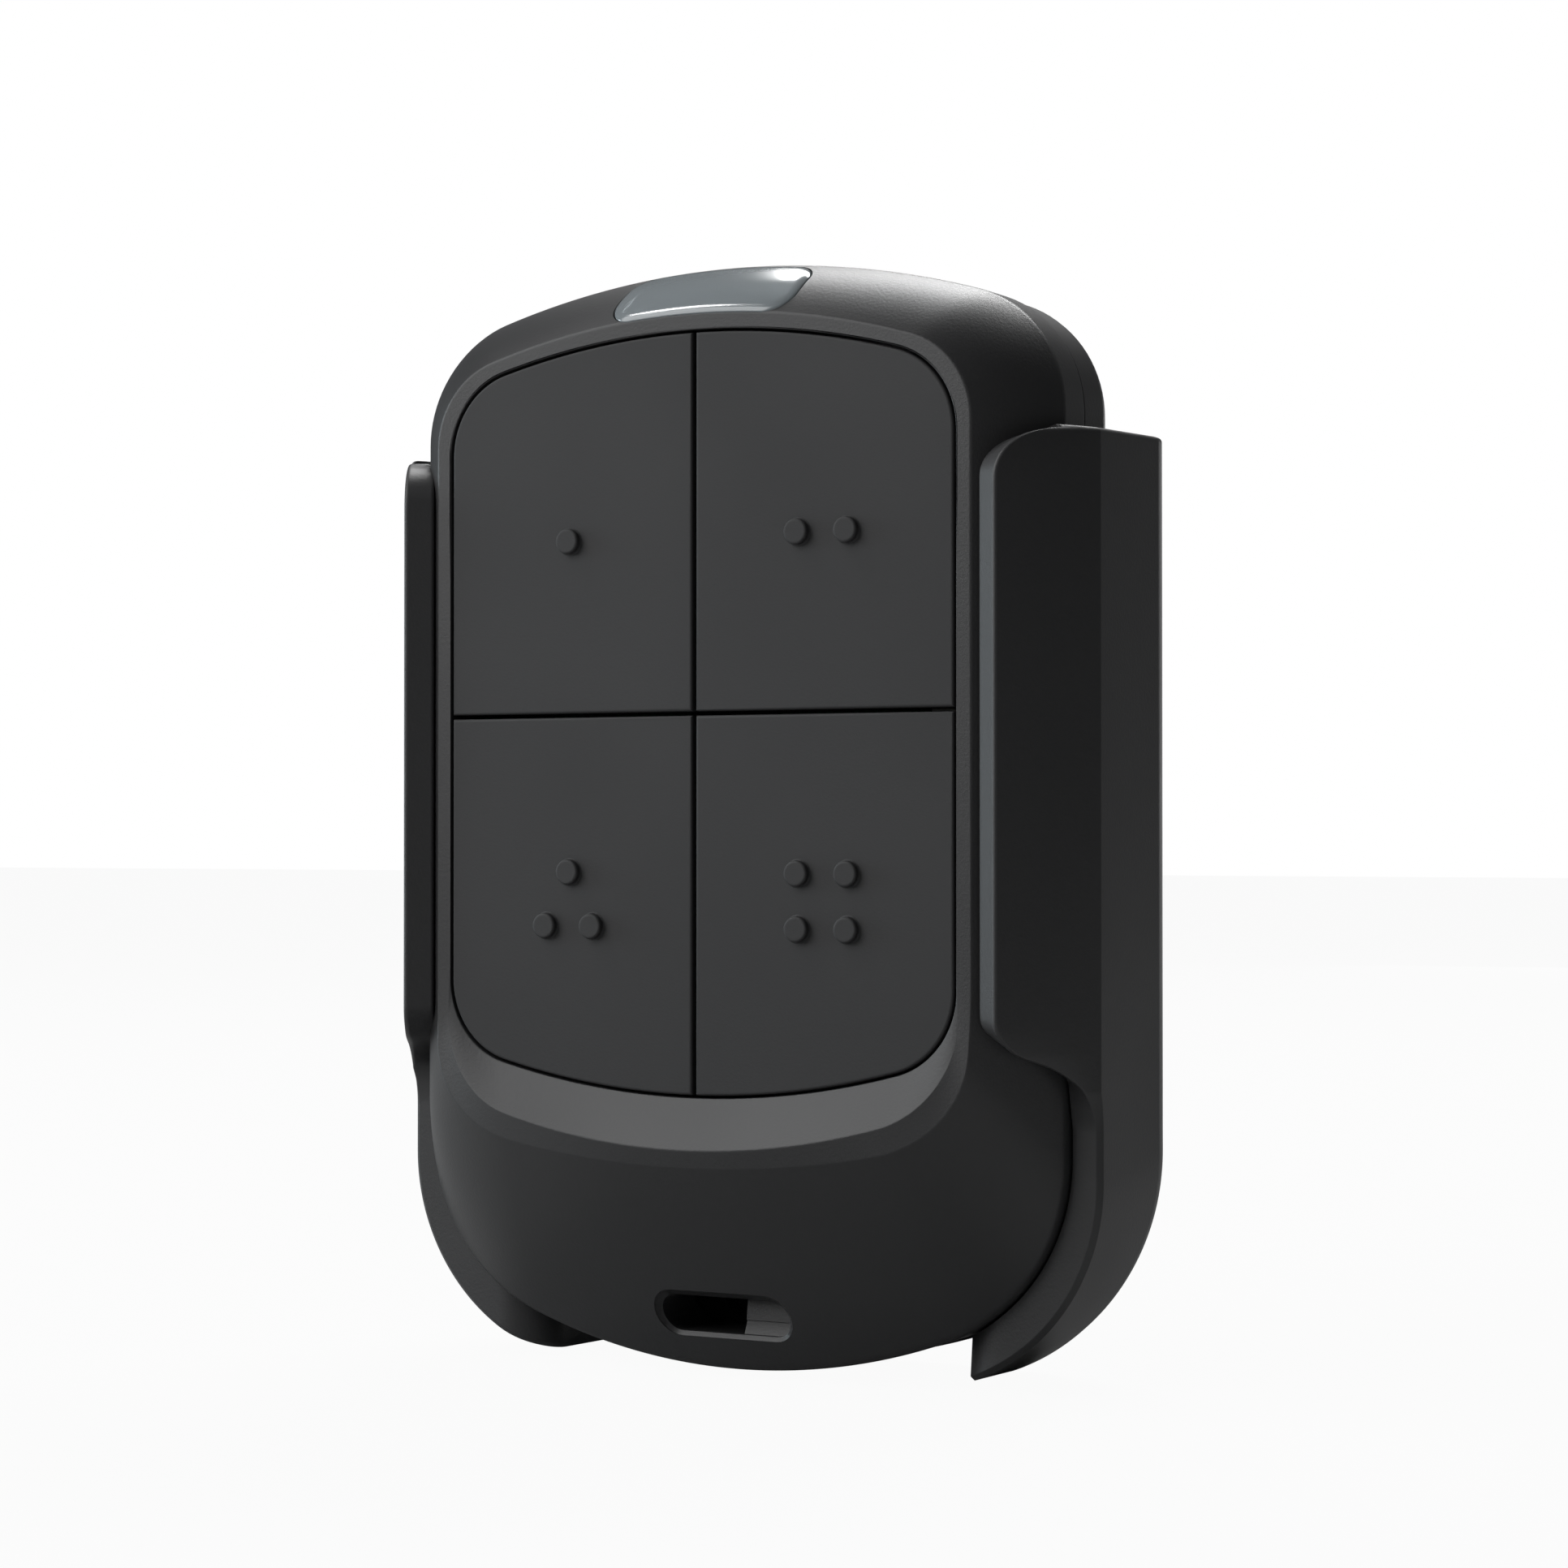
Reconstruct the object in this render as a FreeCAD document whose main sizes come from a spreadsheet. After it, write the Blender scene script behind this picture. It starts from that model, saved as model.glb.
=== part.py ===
import FreeCAD, Part
import math
import os
import Sketcher

# A four-key cloning remote control in its wall cradle.
# X runs across, Y runs back towards the wall, Z runs up. Each piece is drawn in the remote's own frame:
# depth 0 is the front face of the keys, height 0 is the middle of the gap between the upper and lower keys.
# The whole is then placed so that the origin lies on the back face of the cradle.

doc = FreeCAD.newDocument("cloning_remote")

# Driving sizes, in millimetres.
SIZES = [
    ("fob_half_width", 20.4, "half width of the remote at its widest"),
    ("fob_top", 25.75, "crown of the remote above the middle key gap"),
    ("fob_bottom", 37.3, "lowest point of the remote below the middle key gap"),
    ("top_arc", 49.0, "radius of the crowned top"),
    ("bottom_arc", 38.0, "radius of the crowned bottom"),
    ("top_corner", 6.5, "radius of the upper corners"),
    ("bottom_corner", 10.5, "radius of the lower corners"),
    ("flank_run", 3.3, "how far the sloping flank leans in from the skirt to the rim"),
    ("flank_depth", 5.5, "depth at which the flank meets the skirt"),
    ("seam_depth", 8.15, "depth of the seam between the two shells"),
    ("shell_wall", 1.6, "wall of both shells"),
    ("flank_wall", 1.45, "wall behind the flank, measured across"),
    ("face_thickness", 1.9, "thickness of the front face round the keys"),
    ("back_wall", 1.2, "floor of the back shell"),
    ("back_inset", 0.15, "step in from the front shell to the back shell at the seam"),
    ("skirt_soft", 0.4, "how far the softened edge between flank and skirt reaches each way"),
    ("back_round", 1.5, "reach of the back shell's softened outer edge"),
    ("chin_rise", 1.05, "how far the chin's rim stands forward of the keys"),
    ("chin_start", 15.0, "height below the middle gap where the rim starts to rise"),
    ("chin_sweep", 50.0, "radius of the rise"),
    ("rim_bottom", 25.57, "lower outer edge of the rim"),
    ("rim_bottom_arc", 45.9, "radius of the rim's lower outer edge"),
    ("rim_top_corner", 4.6, "upper corner radius of the rim's outer edge"),
    ("rim_bottom_corner", 6.5, "lower corner radius of the rim's outer edge"),
    ("rim_low", 1.07, "width of the rim below the ramp"),
    ("ramp_arc", 45.2, "radius of the ramp's lower edge"),
    ("ramp_corner", 6.1, "corner radius of the ramp"),
    ("rim_side", 0.78, "width of the rim beside the keys"),
    ("rim_top", 0.83, "width of the rim above the keys"),
    ("ramp_height", 3.95, "height of ramp and rim below the keys"),
    ("keys_top_arc", 48.3, "radius of the opening's top edge"),
    ("keys_bottom_arc", 49.5, "radius of the opening's bottom edge"),
    ("keys_corner", 4.9, "corner radius of the opening"),
    ("key_gap", 0.24, "gap round and between the keys"),
    ("key_lip", 0.3, "how far a key's hidden flange reaches behind the front face"),
    ("key_lip_thickness", 0.65, "thickness of that flange"),
    ("key_play", 0.05, "play between the flange and the front face"),
    ("key_travel", 0.5, "travel of a key"),
    ("key_post_radius", 1.9, "radius of the post under a key"),
    ("key_edge", 0.16, "rounding of a key's front edges"),
    ("dot_radius", 0.73, "radius of a raised dot"),
    ("dot_height", 0.45, "height of a raised dot"),
    ("dot_pitch", 3.08, "spacing of the dots"),
    ("stem_radius", 1.1, "radius of a switch's stem"),
    ("stem_length", 1.4, "length of a switch's stem"),
    ("stem_clearance", 0.1, "clearance round a stem in its switch"),
    ("switch_side", 5.2, "side of a switch's square body"),
    ("switch_height", 1.8, "height of a switch's body"),
    ("switch_well", 1.45, "depth of the well that a stem moves in"),
    ("board_front", 5.4, "depth of the circuit board's front face"),
    ("board_thickness", 1.0, "thickness of the circuit board"),
    ("board_clearance", 0.4, "gap between the board and the shells"),
    ("cavity_depth", 5.0, "depth at which the cavity starts to narrow towards the face"),
    ("slot_bridge", 5.8, "solid plastic round the slot, up from the lowest point"),
    ("chin_bridge", 7.4, "the same where the cavity narrows"),
    ("screw_side", 7.9, "housing screws from the remote's sides"),
    ("screw_down", 26.0, "housing screws below the middle gap"),
    ("boss_radius", 2.2, "radius of the screw bosses and posts"),
    ("hook_across", 7.8, "hooks at the top from the middle, across"),
    ("hook_width", 2.2, "width of a hook"),
    ("hook_depth", 0.7, "thickness of a hook's nose"),
    ("hook_reach", 0.6, "reach of a hook's nose"),
    ("hook_clearance", 0.1, "gap between a hook's nose and its catch"),
    ("hook_drop", 3.25, "top of a hook's nose below the crown of the remote"),
    ("screw_radius", 0.85, "radius of a housing screw's shank"),
    ("screw_fit", 0.02, "clearance of the shank in its boss"),
    ("screw_clearance", 0.15, "clearance of the shank in post and board"),
    ("screw_grip", 1.6, "length of shank in a boss"),
    ("screw_head_radius", 1.7, "radius of a screw's head"),
    ("screw_head_height", 0.8, "height of a screw's head"),
    ("screw_sink", 1.0, "depth of the seat that takes a screw's head"),
    ("lens_half_width", 5.8, "half width of the light window"),
    ("lens_front", 0.4, "depth where the light window starts"),
    ("lens_edge", 0.6, "thickness of the light window at its front edge"),
    ("lens_thickness", 1.0, "thickness of the light window over the skirt"),
    ("lens_corner", 1.3, "corner radius of the light window"),
    ("lens_gap", 0.05, "gap round the light window"),
    ("slot_half_length", 4.35, "half length of the keyring slot"),
    ("slot_half_height", 1.22, "half height of the keyring slot"),
    ("slot_down", 34.2, "middle of the slot below the middle gap"),
    ("slot_step", 5.2, "depth of the slot's shallow end"),
    ("slot_through", 1.3, "where the through part of the slot ends, across"),
    ("cell_radius", 10.0, "radius of the coin cell"),
    ("cell_height", 3.2, "height of the coin cell"),
    ("cell_down", 9.5, "middle of the cell below the middle gap"),
    ("contact_pad", 3.0, "radius of the raised pad of the cell's contact"),
    ("contact_leaf", 10.0, "length of the contact's leaf"),
    ("contact_width", 4.0, "width of the contact's leaf"),
    ("antenna_inset", 5.4, "antenna track from the board's sides and top"),
    ("antenna_low", 2.0, "lower ends of the antenna track above the middle gap"),
    ("antenna_width", 1.0, "width of the antenna track"),
    ("antenna_thickness", 0.1, "thickness of the antenna track"),
    ("chip_side", 5.0, "side of the controller chip and length of radio chip and crystal"),
    ("chip_height", 1.0, "height of the controller chip"),
    ("radio_width", 3.0, "width of the radio chip"),
    ("crystal_width", 2.5, "width of the crystal"),
    ("edge_parts_inset", 4.4, "middle of radio chip and crystal from the board's sides"),
    ("diode_width", 2.0, "width of the light diode"),
    ("diode_height", 0.8, "height of the light diode"),
    ("small_part", 1.6, "length of a resistor or capacitor"),
    ("contact_height", 0.55, "height of the cell's contact on the board"),
    ("clip_thickness", 0.3, "thickness of the clip's spring sheet"),
    ("clip_width", 5.0, "width of the clip over the cell"),
    ("clip_gap", 0.05, "gap between cell and clip"),
    ("clip_side_gap", 0.15, "gap between the cell's edge and the clip's legs"),
    ("cell_room", 0.3, "gap between clip and back shell"),
    ("fit_gap", 0.35, "gap round the remote in the cradle"),
    ("rear_gap", 0.3, "gap between the remote's back and the cradle"),
    ("cradle_wall", 1.6, "wall of the cradle"),
    ("plate_thickness", 3.7, "thickness of the cradle's back plate"),
    ("cradle_top", 15.5, "upper edge of the cradle above the middle gap"),
    ("wing_reach", 0.87, "how far a wing stands forward of the keys"),
    ("wing_inner_depth", 0.15, "depth of a wing's inner edge"),
    ("wing_edge", 1.43, "width of a wing's bevelled front edge, across"),
    ("wing_corner", 3.0, "rounding of a wing's upper front corner"),
    ("wing_bottom", 18.3, "lower end of a wing's front edge below the middle gap"),
    ("wing_notch", 19.6, "top of the cut-out under a wing, below the middle gap"),
    ("wing_cove", 3.8, "radius of the cut-out under a wing"),
    ("notch_half_width", 13.8, "half width of the gap between the lower lips"),
    ("notch_round", 3.0, "rounding of the lips' ends"),
    ("plate_bottom", 36.6, "lower edge of the back plate below the middle gap"),
    ("wall_screw_radius", 1.75, "radius of the holes for the wall screws"),
    ("wall_screw_head", 3.4, "radius of their countersinks"),
    ("wall_screw_upper", 9.0, "height of the upper wall screw"),
    ("wall_screw_pitch", 30.0, "distance between the wall screws"),
    ("cradle_soft", 1.5, "reach of the cradle's softened rear edges"),
]

sheet = doc.addObject("Spreadsheet::Sheet", "sizes")
for row, (alias, number, note) in enumerate(SIZES, start=1):
    sheet.set(f"A{row}", alias.replace("_", " "))
    sheet.set(f"B{row}", str(number))
    sheet.set(f"C{row}", note)
    sheet.setAlias(f"B{row}", alias)
doc.recompute()


class Size:
    """A length, with the formula on the sheet's cells that gives it."""

    def __init__(self, value, text):
        self.value = value
        self.text = text

    def __add__(self, other):
        other = size(other)
        return Size(self.value + other.value, f"({self.text} + {other.text})")

    def __sub__(self, other):
        other = size(other)
        return Size(self.value - other.value, f"({self.text} - {other.text})")

    def __mul__(self, other):
        other = size(other)
        return Size(self.value * other.value, f"({self.text} * {other.text})")

    def __truediv__(self, other):
        other = size(other)
        return Size(self.value / other.value, f"({self.text} / {other.text})")

    def __neg__(self):
        return Size(-self.value, f"(0 - {self.text})")

    def __radd__(self, other):
        return size(other) + self

    def __rsub__(self, other):
        return size(other) - self

    def __rmul__(self, other):
        return size(other) * self

    def root(self):
        return Size(math.sqrt(self.value), f"sqrt({self.text})")


def size(length):
    if isinstance(length, Size):
        return length
    return Size(float(length), repr(float(length)))


class Sheet:
    """The driving sizes by name."""


dim = Sheet()
for alias, number, note in SIZES:
    setattr(dim, alias, Size(number, f"sizes.{alias}"))

ZERO = size(0)
board_back = dim.board_front + dim.board_thickness
cell_front = board_back + dim.contact_height
cell_back = cell_front + dim.cell_height
cavity_back = cell_back + dim.clip_gap + dim.clip_thickness + dim.cell_room
fob_depth = cavity_back + dim.back_wall
plate_front = fob_depth + dim.rear_gap
cradle_back = plate_front + dim.plate_thickness
flank_slope = dim.flank_run / dim.flank_depth
rim_run = flank_slope * (dim.flank_depth + dim.chin_rise)
keys_half = dim.fob_half_width - rim_run - dim.rim_side + flank_slope * dim.chin_rise
keys_top = dim.fob_top - dim.flank_run - dim.rim_top
keys_bottom = dim.rim_bottom - dim.ramp_height
dot_across = keys_half / 2
dot_up = keys_top * 0.461
dot_down = keys_bottom * 0.486
key_flange_front = dim.face_thickness + dim.key_play
key_flange_back = key_flange_front + dim.key_lip_thickness
switch_front = dim.board_front - dim.switch_height
stem_front = switch_front - dim.key_travel - 0.05

# The three views that outlines are drawn in: from the front, from the side and from above.
FRONT = "XZ_Plane"
SIDE = "YZ_Plane"
ABOVE = "XY_Plane"


class Outline:
    """A sketch on one of a body's own origin planes, moved along that plane's axis."""

    def __init__(self, body, name, plane, start):
        self.sketch = body.newObject("Sketcher::SketchObject", name)
        planes = [feature for feature in body.Origin.OriginFeatures if feature.Role == plane]
        self.sketch.AttachmentSupport = (planes[0], [""])
        self.sketch.MapMode = "FlatFace"
        offset = -start if plane == FRONT else start
        self.sketch.AttachmentOffset = FreeCAD.Placement(
            FreeCAD.Vector(0, 0, offset.value), FreeCAD.Rotation()
        )
        self.sketch.setExpression("AttachmentOffset.Base.z", offset.text)

    def hold(self, kind, length, *where):
        index = self.sketch.addConstraint(Sketcher.Constraint(kind, *where, length.value))
        self.sketch.setExpression(f"Constraints[{index}]", length.text)

    def tie(self, kind, *where):
        self.sketch.addConstraint(Sketcher.Constraint(kind, *where))

    def line(self, x0, z0, x1, z1):
        start = FreeCAD.Vector(x0, z0, 0)
        return self.sketch.addGeometry(Part.LineSegment(start, FreeCAD.Vector(x1, z1, 0)), False)

    def arc(self, x, z, radius, begin, end):
        circle = Part.Circle(FreeCAD.Vector(x, z, 0), FreeCAD.Vector(0, 0, 1), radius)
        return self.sketch.addGeometry(Part.ArcOfCircle(circle, begin, end), False)

    def circle(self, x, z, radius):
        centre = FreeCAD.Vector(x.value, z.value, 0)
        index = self.sketch.addGeometry(
            Part.Circle(centre, FreeCAD.Vector(0, 0, 1), radius.value), False
        )
        self.hold("Radius", radius, index)
        self.hold("DistanceX", x, index, 3)
        self.hold("DistanceY", z, index, 3)

    def path(self, corners):
        """A closed outline through corners (x, z), or (x, z, radius) where an arc leads to the next
        corner: turning left round its centre for a positive radius, right for a negative one."""
        edges = []
        for index, corner in enumerate(corners):
            x0, z0 = corner[0].value, corner[1].value
            after = corners[(index + 1) % len(corners)]
            x1, z1 = after[0].value, after[1].value
            if len(corner) == 2:
                edges.append((self.line(x0, z0, x1, z1), 1, 2))
                continue
            radius = corner[2].value
            chord = math.hypot(x1 - x0, z1 - z0)
            rise = math.sqrt(radius * radius - chord * chord / 4)
            side = 1 if radius > 0 else -1
            x = (x0 + x1) / 2 - side * rise * (z1 - z0) / chord
            z = (z0 + z1) / 2 + side * rise * (x1 - x0) / chord
            first = math.atan2(z0 - z, x0 - x)
            last = math.atan2(z1 - z, x1 - x)
            if side > 0:
                edge = self.arc(x, z, abs(radius), first, last)
                edges.append((edge, 1, 2))
            else:
                edge = self.arc(x, z, abs(radius), last, first)
                edges.append((edge, 2, 1))
            self.hold("Radius", corner[2] if side > 0 else -corner[2], edge)
        for index, (edge, begin, end) in enumerate(edges):
            after = edges[(index + 1) % len(edges)]
            self.tie("Coincident", edge, end, after[0], after[1])
            self.hold("DistanceX", corners[index][0], edge, begin)
            self.hold("DistanceY", corners[index][1], edge, begin)


def box(x0, x1, z0, z1):
    """A rectangle between two opposite corners."""

    def draw(outline):
        outline.path([(x0, z0), (x1, z0), (x1, z1), (x0, z1)])

    return draw


def obround(half_length, half_height, x, z):
    """A slot with round ends, lying along the first axis about (x, z)."""
    run = half_length - half_height

    def draw(outline):
        top, low = z + half_height, z - half_height
        outline.path([(x - run, low), (x + run, low, half_height), (x + run, top), (x - run, top, half_height)])

    return draw


class Crown:
    """A tall outline with straight sides, a crowned top and bottom, and four rounded corners."""

    def __init__(self, half, top, bottom, top_arc, bottom_arc, top_corner, bottom_corner):
        self.half = half
        self.top = top
        self.bottom = bottom
        self.top_arc = top_arc
        self.bottom_arc = bottom_arc
        self.top_corner = top_corner
        self.bottom_corner = bottom_corner

    def grown(self, by, bottom=None):
        return Crown(
            self.half + by,
            self.top + by,
            bottom or self.bottom + by,
            self.top_arc + by,
            self.bottom_arc + by,
            self.top_corner + by,
            self.bottom_corner + by,
        )

    def corner(self, end):
        """The centre of a corner and the angle at which it meets the crown, at the end 1 or -1."""
        crown = self.top_arc if end > 0 else self.bottom_arc
        reach = self.top if end > 0 else self.bottom
        radius = self.top_corner if end > 0 else self.bottom_corner
        x = self.half.value - radius.value
        up = math.sqrt((crown.value - radius.value) ** 2 - x * x)
        middle = reach.value - crown.value
        return x, middle + up, math.atan2(up, x), middle

    def draw(self, outline):
        half = self.half.value
        x1, z1, turn1, middle1 = self.corner(1)
        x2, z2, turn2, middle2 = self.corner(-1)
        z2, middle2 = -z2, -middle2
        right = outline.line(half, z2, half, z1)
        top_right = outline.arc(x1, z1, self.top_corner.value, 0, turn1)
        top = outline.arc(0, middle1, self.top_arc.value, turn1, math.pi - turn1)
        top_left = outline.arc(-x1, z1, self.top_corner.value, math.pi - turn1, math.pi)
        left = outline.line(-half, z1, -half, z2)
        low_left = outline.arc(-x2, z2, self.bottom_corner.value, math.pi, math.pi + turn2)
        low = outline.arc(0, middle2, self.bottom_arc.value, math.pi + turn2, 2 * math.pi - turn2)
        low_right = outline.arc(x2, z2, self.bottom_corner.value, -turn2, 0)
        ring = [right, top_right, top, top_left, left, low_left, low, low_right]
        for index, edge in enumerate(ring):
            outline.tie("Tangent", edge, 2, ring[(index + 1) % len(ring)], 1)
        outline.tie("Vertical", right)
        outline.tie("Vertical", left)
        outline.tie("Equal", top_right, top_left)
        outline.tie("Equal", low_right, low_left)
        outline.tie("PointOnObject", top, 3, -2)
        outline.tie("PointOnObject", low, 3, -2)
        outline.hold("Radius", self.top_corner, top_right)
        outline.hold("Radius", self.bottom_corner, low_right)
        outline.hold("Radius", self.top_arc, top)
        outline.hold("Radius", self.bottom_arc, low)
        outline.hold("DistanceX", self.half, right, 1)
        outline.hold("DistanceX", -self.half, left, 1)
        outline.hold("DistanceY", self.top - self.top_arc, top, 3)
        outline.hold("DistanceY", self.bottom_arc - self.bottom, low, 3)

    def tub(self, rim):
        """The lower part of the outline, with its sides running straight up to a flat rim."""

        def draw(outline):
            half = self.half.value
            x, z, turn, middle = self.corner(-1)
            right = outline.line(half, -z, half, rim.value)
            across = outline.line(half, rim.value, -half, rim.value)
            left = outline.line(-half, rim.value, -half, -z)
            low_left = outline.arc(-x, -z, self.bottom_corner.value, math.pi, math.pi + turn)
            low = outline.arc(0, -middle, self.bottom_arc.value, math.pi + turn, 2 * math.pi - turn)
            low_right = outline.arc(x, -z, self.bottom_corner.value, -turn, 0)
            outline.tie("Coincident", right, 2, across, 1)
            outline.tie("Coincident", across, 2, left, 1)
            ring = [left, low_left, low, low_right, right]
            for edge, after in zip(ring, ring[1:]):
                outline.tie("Tangent", edge, 2, after, 1)
            outline.tie("Vertical", right)
            outline.tie("Vertical", left)
            outline.tie("Horizontal", across)
            outline.tie("Equal", low_right, low_left)
            outline.tie("PointOnObject", low, 3, -2)
            outline.hold("Radius", self.bottom_corner, low_right)
            outline.hold("Radius", self.bottom_arc, low)
            outline.hold("DistanceX", self.half, right, 2)
            outline.hold("DistanceX", -self.half, left, 1)
            outline.hold("DistanceY", rim, right, 2)
            outline.hold("DistanceY", self.bottom_arc - self.bottom, low, 3)

        return draw

    def quarter(self, side, end, gap):
        """One quarter of the outline, to the right or left (1 or -1) and above or below (1 or -1)."""

        def draw(outline):
            crown = self.top_arc if end > 0 else self.bottom_arc
            reach = self.top if end > 0 else self.bottom
            radius = self.top_corner if end > 0 else self.bottom_corner
            half = self.half.value
            inner = gap.value
            x, z, turn, middle = self.corner(end)
            peak = middle + math.sqrt(crown.value ** 2 - inner * inner)
            begin = math.acos(inner / crown.value)
            low = outline.line(side * inner, end * inner, side * half, end * inner)
            outer = outline.line(side * half, end * inner, side * half, end * z)
            mirrored = side * end < 0

            def bend(centre_x, centre_z, bend_radius, first, last):
                angles = []
                for angle in (first, last):
                    angle = angle if side > 0 else math.pi - angle
                    angles.append(angle if end > 0 else -angle)
                if mirrored:
                    angles.reverse()
                return outline.arc(side * centre_x, end * centre_z, bend_radius, *angles)

            corner = bend(x, z, radius.value, 0, turn)
            top = bend(0, middle, crown.value, turn, begin)
            inside = outline.line(side * inner, end * peak, side * inner, end * inner)
            near, far = (2, 1) if mirrored else (1, 2)
            outline.tie("Coincident", low, 2, outer, 1)
            outline.tie("Tangent", outer, 2, corner, near)
            outline.tie("Tangent", corner, far, top, near)
            outline.tie("Coincident", top, far, inside, 1)
            outline.tie("Coincident", inside, 2, low, 1)
            outline.tie("Horizontal", low)
            outline.tie("Vertical", outer)
            outline.tie("Vertical", inside)
            outline.tie("PointOnObject", top, 3, -2)
            outline.hold("Radius", radius, corner)
            outline.hold("Radius", crown, top)
            outline.hold("DistanceX", side * gap, low, 1)
            outline.hold("DistanceY", end * gap, low, 1)
            outline.hold("DistanceX", side * self.half, outer, 1)
            outline.hold("DistanceY", end * (reach - crown), top, 3)

        return draw


class Piece:
    """A body of the document and the features that make it."""

    def __init__(self, name):
        self.body = doc.addObject("PartDesign::Body", name)
        self.body.Label = name

    def outline(self, name, plane, start, draw):
        outline = Outline(self.body, name, plane, start)
        draw(outline)
        return outline.sketch

    def extrude(self, name, plane, draw, start, end, cut=False):
        """Adds or cuts what an outline sweeps from start to end along its view's axis."""
        sketch = self.outline(name + "_outline", plane, start, draw)
        kind = "PartDesign::Pocket" if cut else "PartDesign::Pad"
        feature = self.body.newObject(kind, name)
        feature.Profile = sketch
        feature.Type = "Length"
        feature.Reversed = (plane == FRONT) != cut
        feature.setExpression("Length", (end - start).text)
        return feature

    def loft(self, name, draws, cut=False):
        """Adds or cuts the straight-sided form between outlines drawn from the front."""
        sections = []
        for index, (crown, depth) in enumerate(draws):
            sections.append(self.outline(f"{name}_outline{index}", FRONT, depth, crown.draw))
        kind = "PartDesign::SubtractiveLoft" if cut else "PartDesign::AdditiveLoft"
        feature = self.body.newObject(kind, name)
        feature.Profile = sections[0]
        feature.Sections = sections[1:]
        feature.Ruled = True
        return feature

    def round(self, name, radius, choose, kind="PartDesign::Fillet"):
        """Rounds the edges that choose picks."""
        doc.recompute()
        base = self.body.Tip
        edges = [f"Edge{i + 1}" for i, edge in enumerate(base.Shape.Edges) if choose(edge)]
        if not edges:
            raise RuntimeError(f"{self.body.Label}: no edge found for {name}")
        feature = self.body.newObject(kind, name)
        feature.Base = (base, edges)
        if kind == "PartDesign::Fillet":
            feature.setExpression("Radius", radius.text)
        else:
            feature.setExpression("Size", radius.text)
        return feature


def near(number, length, slack=0.01):
    return abs(number - length.value) < slack


def flat_at(edge, depth):
    """Whether an edge lies at one depth."""
    bounds = edge.BoundBox
    return near(bounds.YMin, depth) and near(bounds.YMax, depth)


# The main outlines of the remote.
skirt = Crown(
    dim.fob_half_width, dim.fob_top, dim.fob_bottom,
    dim.top_arc, dim.bottom_arc, dim.top_corner, dim.bottom_corner,
)
rim = Crown(
    dim.fob_half_width - rim_run, dim.fob_top - rim_run, dim.rim_bottom,
    dim.top_arc - rim_run, dim.rim_bottom_arc, dim.rim_top_corner, dim.rim_bottom_corner,
)
keyhole = Crown(
    keys_half, keys_top, keys_bottom,
    dim.keys_top_arc, dim.keys_bottom_arc, dim.keys_corner, dim.keys_corner,
)
inner_keyhole = keyhole.grown(-dim.key_gap / 2)
ramp_top = Crown(
    inner_keyhole.half, inner_keyhole.top, dim.rim_bottom - dim.rim_low,
    inner_keyhole.top_arc, dim.ramp_arc, inner_keyhole.top_corner, dim.ramp_corner,
)
soft_depth = dim.flank_depth - dim.skirt_soft
flank_edge = skirt.grown(
    -flank_slope * dim.skirt_soft,
    bottom=dim.fob_bottom - (dim.fob_bottom - dim.rim_bottom) * dim.skirt_soft / (dim.flank_depth + dim.chin_rise),
)
cavity_rear = skirt.grown(-dim.shell_wall, bottom=dim.fob_bottom - dim.slot_bridge)
cavity_middle = skirt.grown(
    -flank_slope * (dim.flank_depth - dim.cavity_depth) - dim.flank_wall, bottom=dim.fob_bottom - dim.chin_bridge
)
cavity_front = cavity_middle.grown(-flank_slope * (dim.cavity_depth - dim.face_thickness))

SCREWS = [(side * (dim.fob_half_width - dim.screw_side), -dim.screw_down) for side in (1, -1)]
hook_top = dim.fob_top - dim.hook_drop
hook_front = board_back + dim.hook_depth


def all_circles(places, radius):
    def draw(outline):
        for x, z in places:
            outline.circle(x, z, radius)

    return draw


def outer_form(name):
    """The solid outer form of the front shell: skirt, leaning flank, raised chin and soft edges."""
    piece = Piece(name)
    piece.extrude("skirt", FRONT, skirt.draw, dim.flank_depth + dim.skirt_soft, dim.seam_depth)
    piece.loft("soft_edge", [(skirt, dim.flank_depth + dim.skirt_soft), (flank_edge, soft_depth)])
    piece.loft("flank", [(flank_edge, soft_depth), (rim, -dim.chin_rise)])
    sweep_end = dim.chin_start + (2 * dim.chin_sweep * dim.chin_rise - dim.chin_rise * dim.chin_rise).root()
    clear = dim.chin_rise + 1
    over = dim.fob_top + 1

    def face(outline):
        outline.path([
            (-clear, -sweep_end),
            (-dim.chin_rise, -sweep_end, -dim.chin_sweep),
            (size(0), -dim.chin_start),
            (size(0), over),
            (-clear, over),
        ])

    piece.extrude("face", SIDE, face, -dim.fob_half_width, dim.fob_half_width, cut=True)
    return piece


def window(name, gap):
    """The block that the light window fills, from the front of the flank back to the seam."""
    piece = Piece(name)
    front = dim.lens_front + gap
    seat_front = dim.fob_top - flank_slope * (dim.flank_depth - dim.lens_front) - dim.lens_edge + gap
    seat_back = dim.fob_top - dim.lens_thickness + gap
    over = dim.fob_top + 1

    def profile(outline):
        outline.path([
            (front, seat_front),
            (dim.flank_depth, seat_back),
            (dim.seam_depth, seat_back),
            (dim.seam_depth, over),
            (front, over),
        ])

    half = dim.lens_half_width - gap
    piece.extrude("block", SIDE, profile, -half, half)
    piece.round(
        "window_corner",
        dim.lens_corner - gap,
        lambda edge: near(edge.BoundBox.YMax, front) and edge.BoundBox.ZLength > 2
        and edge.BoundBox.XLength < 0.01,
    )
    return piece


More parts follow.
